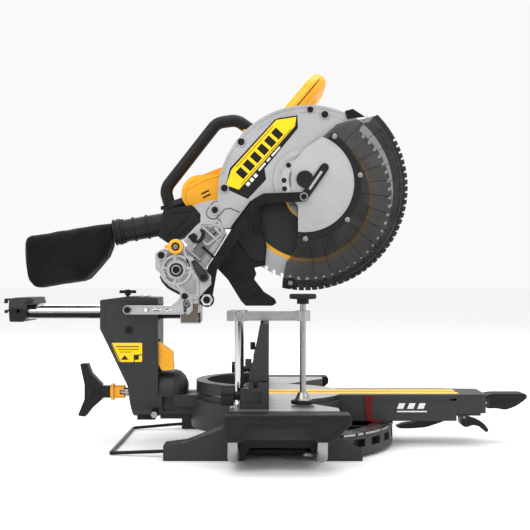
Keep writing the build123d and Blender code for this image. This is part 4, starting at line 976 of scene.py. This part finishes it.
def dust_bag():
    """A cloth bag of turned-in sections: full at the middle, creased at the neck and along the bottom."""
    top = [(-438, 360), (-434, 370), (-426, 374), (-383, 381), (-333, 390), (-300, 394.6), (-284, 396.5)]
    low = [(-438, 350), (-434, 316), (-428, 290), (-420, 281), (-411, 279.5), (-377, 285.5), (-338, 291),
        (-327, 295), (-310, 313), (-291, 335), (-284, 352)]

    def height(line, x):
        """The line's height at x."""
        for (x0, z0), (x1, z1) in zip(line, line[1:]):
            if x <= x1:
                return z0 + (z1 - z0) * (x - x0) / (x1 - x0)
        return line[-1][1]

    around, sections, loops = 88, 75, []
    for i in range(sections):
        t = i / (sections - 1)
        x = -437.6 + 153.4 * (0.5 - 0.5 * math.cos(math.pi * t)) ** 0.9
        upper, lower = height(top, x), height(low, x)
        middle, half = (upper + lower) / 2, (upper - lower) / 2
        shut = min(1.0, max(0.0, (x + 438.4) / 9)) ** 0.5
        neck = min(1.0, max(0.0, (-283 - x) / 60))
        wide = (24 + 22 * neck ** 0.6) * (0.35 + 0.65 * shut)
        loop = []
        for j in range(around):
            a = TAU * j / around
            c, s = math.cos(a), math.sin(a)
            y = wide * math.copysign(abs(c) ** (0.42 + 0.2 * (1 - neck)), c)
            z = half * math.copysign(abs(s) ** 0.5, s)
            place = Vector((x * 0.02, y * 0.016, z * 0.02))
            fold = noise.noise(place * 1.1) * 2.4 + noise.noise(place * 3.1) * 1.1
            crease = math.sin(a * 9 + x * 0.05) * 1.2 * (1 - neck) ** 1.5
            sink = 1 - min(0.12, abs(fold + crease) * 0.02) * (0.4 + 0.6 * abs(c))
            loop.append((x, y * sink * (1 - 0.05 * (1 - abs(s))), middle + z * (1 - 0.012 * abs(fold))))
        loops.append(loop)
    bag = piece("dust_bag", "dust_bag_cloth", "bag_cloth", rings(loops), angle=80, replaced="dust_bag")
    teeth = [(x, height(low, x) - 0.1) for x in range(-414, -330, 6)]
    piece("dust_bag", "dust_bag_zip", "black_plastic",
        *[plate([(x, z + 0.6), (x + 3.6, z + 1.1), (x + 3.6, z + 2.2), (x, z + 1.8)], -2.4, 4.8)
        for x, z in teeth])
    along = Vector((0.985, 0, 0.1727))
    piece("dust_bag", "dust_bag_collar", "black_plastic",
        turned(PIPE_END - along * 2, [(21, 0), (23.9, 0), (23.9, 3), (22.4, 3.6), (22.4, 6.4), (23.9, 7),
        (23.9, 11), (23, 13.6), (21, 13.6), (21, 0)], along, 64))


# ---------------- table, fence, supports and clamp

def table_details():
    ticks = []
    for degree in range(-50, 51):
        along = Vector(polar((0, 0), 1, degree))
        side = Vector((-along.y, along.x)) * 0.35
        outer, inner = along * 221, along * (212 if degree % 5 == 0 else 216)
        corners = [outer - side, outer + side, inner + side, inner - side]
        ticks.append(rings([[(*corner, z) for corner in corners] for z in (41.0, 41.2)]))
    piece("base", "scale_ticks", "black_plastic", *ticks, look="label_black")
    profile = [(4, -0.4), (4, 0), (2.2, 0.1), (hexagon(1.8), 0.1), (hexagon(1.8), -0.3), (0.01, -0.3)]
    heads = [turned((x, y, 89.8), profile, UP, 24) for x in (-80, 20, 120, 220, 320) for y in (-29, 29)]
    piece("mitre_table", "kerf_screw_heads", "steel", *heads, look="black_steel")
    piece("mitre_table", "arm_side_line", "dark_casting",
        slab([(150, 80), (316, 80), (316, 78.4), (150, 78.4)], 0.5, -52.8, 1), bevel=0.2)
    piece("mitre_table", "arm_plain_marks", "black_plastic",
        *[plate([(x, 66), (x + 4, 76), (x + 15, 76), (x + 11, 66)], -52.4, 0.5) for x in (226, 244, 262)],
        tile(226, 60, 279, 62.4, -52.4, 0.5), look="label_white")


def mitre_controls():
    """Moulded grip, finger lever and spring blade under the arm, in place of the plain solids."""
    grip = rounded([(389.7, 86), (404, 88.8), (461, 88.8), (464.8, 86), (464, 80), (446, 67), (426, 59.2),
        (411, 62.6), (389.7, 62)], 7, 6)
    piece("mitre_handle", "mitre_grip", "black_plastic", plate(grip, -19.8, 39.6), bevel=3.4,
        replaced="mitre_handle")
    piece("mitre_handle", "mitre_grip_pin", "steel",
        boss(390, 73, -23.5, [(3, -47), (3, 0), (2.4, 0.4), (0.01, 0.4)], 24), replaced="mitre_handle")
    grooves = [((x, 70), (x + 3, 82)) for x in range(408, 448, 8)]
    piece("mitre_handle", "mitre_grip_ribs", "black_plastic", *bars(grooves, 1.6, -20.2, 0.5),
        *bars(grooves, 1.6, 19.7, 0.5), look="black_rubber")
    lever = rounded([(347, 47.5), (357, 47.5), (368, 43.5), (380, 40), (389, 34), (397.5, 22.5),
        (392.5, 17.5), (382, 28.5), (368, 32), (358, 27.5), (350, 29), (346.5, 36)], 5, 6)
    piece("detent_lever", "finger_lever", "black_plastic", plate(lever, -14.8, 29.6), bevel=1.8,
        replaced="detent_lever")
    piece("detent_lever", "finger_lever_pin", "steel",
        boss(352, 46.5, -18.2, [(2.5, -36.4), (2.5, 0), (2, 0.3), (0.01, 0.3)], 24), replaced="detent_lever")
    spring = rounded([(229.5, 27.8), (238, 24.6), (262, 25), (284, 27), (303, 33), (317, 38), (317, 42.5),
        (296, 42.8), (277, 38), (262, 35), (246, 34), (236, 30.6)], 5, 5)
    piece("detent_pawl", "detent_spring", "black_steel", plate(spring, -10.8, 21.6), bevel=0.9,
        replaced="detent_pawl")


def support_details():
    end, thick = 305, 1.0
    outer = rounded([(-64, 87), (121, 87), (121, 78), (94, 53), (73, 53), (62, 73), (-30, 73), (-42, 53),
        (-64, 53)], 5)
    inner = rounded([(-61, 84.6), (118, 84.6), (118, 79.4), (92.6, 55.4), (74.6, 55.4), (63.6, 75.4),
        (-31.6, 75.4), (-43.6, 55.4), (-61, 55.4)], 4)
    for front, body in ((-end - thick, "left_support"), (end, "right_support")):
        piece(body, f"{body}_rim", "black_plastic", plate(outer, front, thick, inner[::-1]), bevel=0.4)
        piece(body, f"{body}_ribs", "black_plastic",
            *[tile(x, 76, x + 1.4, 84, front, thick) for x in (-10, 12, 34)], bevel=0.3)


def clamp_details():
    x, y = 55, -190
    piece("clamp_foot", "clamp_foot_cone", "steel",
        turned((x, y, 99), [(6, 0), (14, 0), (14, 1.2), (12.6, 2.4), (9.6, 8), (8.2, 12), (7.6, 13),
        (5.2, 13), (5.2, 4), (6, 4), (6, 0)], UP, 56), replaced="clamp_foot")
    piece("clamp_foot", "clamp_foot_pad", "black_rubber",
        turned((x, y, 93), [(17.6, 0), (19.4, 0.8), (19.4, 4), (18.6, 5.4), (15, 6), (0.01, 6)], UP, 56),
        replaced="clamp_foot")
    pitch, radius, per_turn = 4.0, 4.8, 12
    thread = []
    for step in range(int(72 / pitch * per_turn)):
        turn = TAU * step / per_turn
        thread.append((x + radius * math.cos(turn), y + radius * math.sin(turn),
            115 + pitch * step / per_turn))
    piece("clamp_screw", "clamp_thread", "steel", tube(thread, 0.42, 5))
    piece("clamp_screw", "clamp_knob_scallops", "black_plastic",
        turned((x, y, 262.4), [(12, 0), (lobed(20.2, 0.045, 12), 1), (lobed(21, 0.045, 12), 3),
        (lobed(21, 0.045, 12), 7), (lobed(19.6, 0.045, 12), 8.8), (9, 8.8), (8.2, 8), (0.01, 8)], UP, 120))
    piece("clamp", "clamp_set_screw", "machined_alu", screw(-48, 237, -205, 5.4, 2.2))
    piece("clamp", "clamp_set_ring", "machined_alu", ring(-48, 237, -205, 8.4, 5.8, 1.6))
    piece("clamp", "clamp_arm_groove", "machined_alu",
        *[slab([(-30, z), (38, z), (38, z - 1.6), (-30, z - 1.6)], 0.5, -198.7, 1) for z in (239.6, 232.6)],
        bevel=0.2)


studio()
dress_nodes()
upper_guard_details()
guard_label()
arm_details()
lower_guard_details()
blade_details()
link_details()
cheek_details()
stop_and_pin_details()
strap_details()
rail_cap()
housing_details()
drive_details()
chute_details()
pipe_details()
dust_bag()
table_details()
mitre_controls()
support_details()
clamp_details()
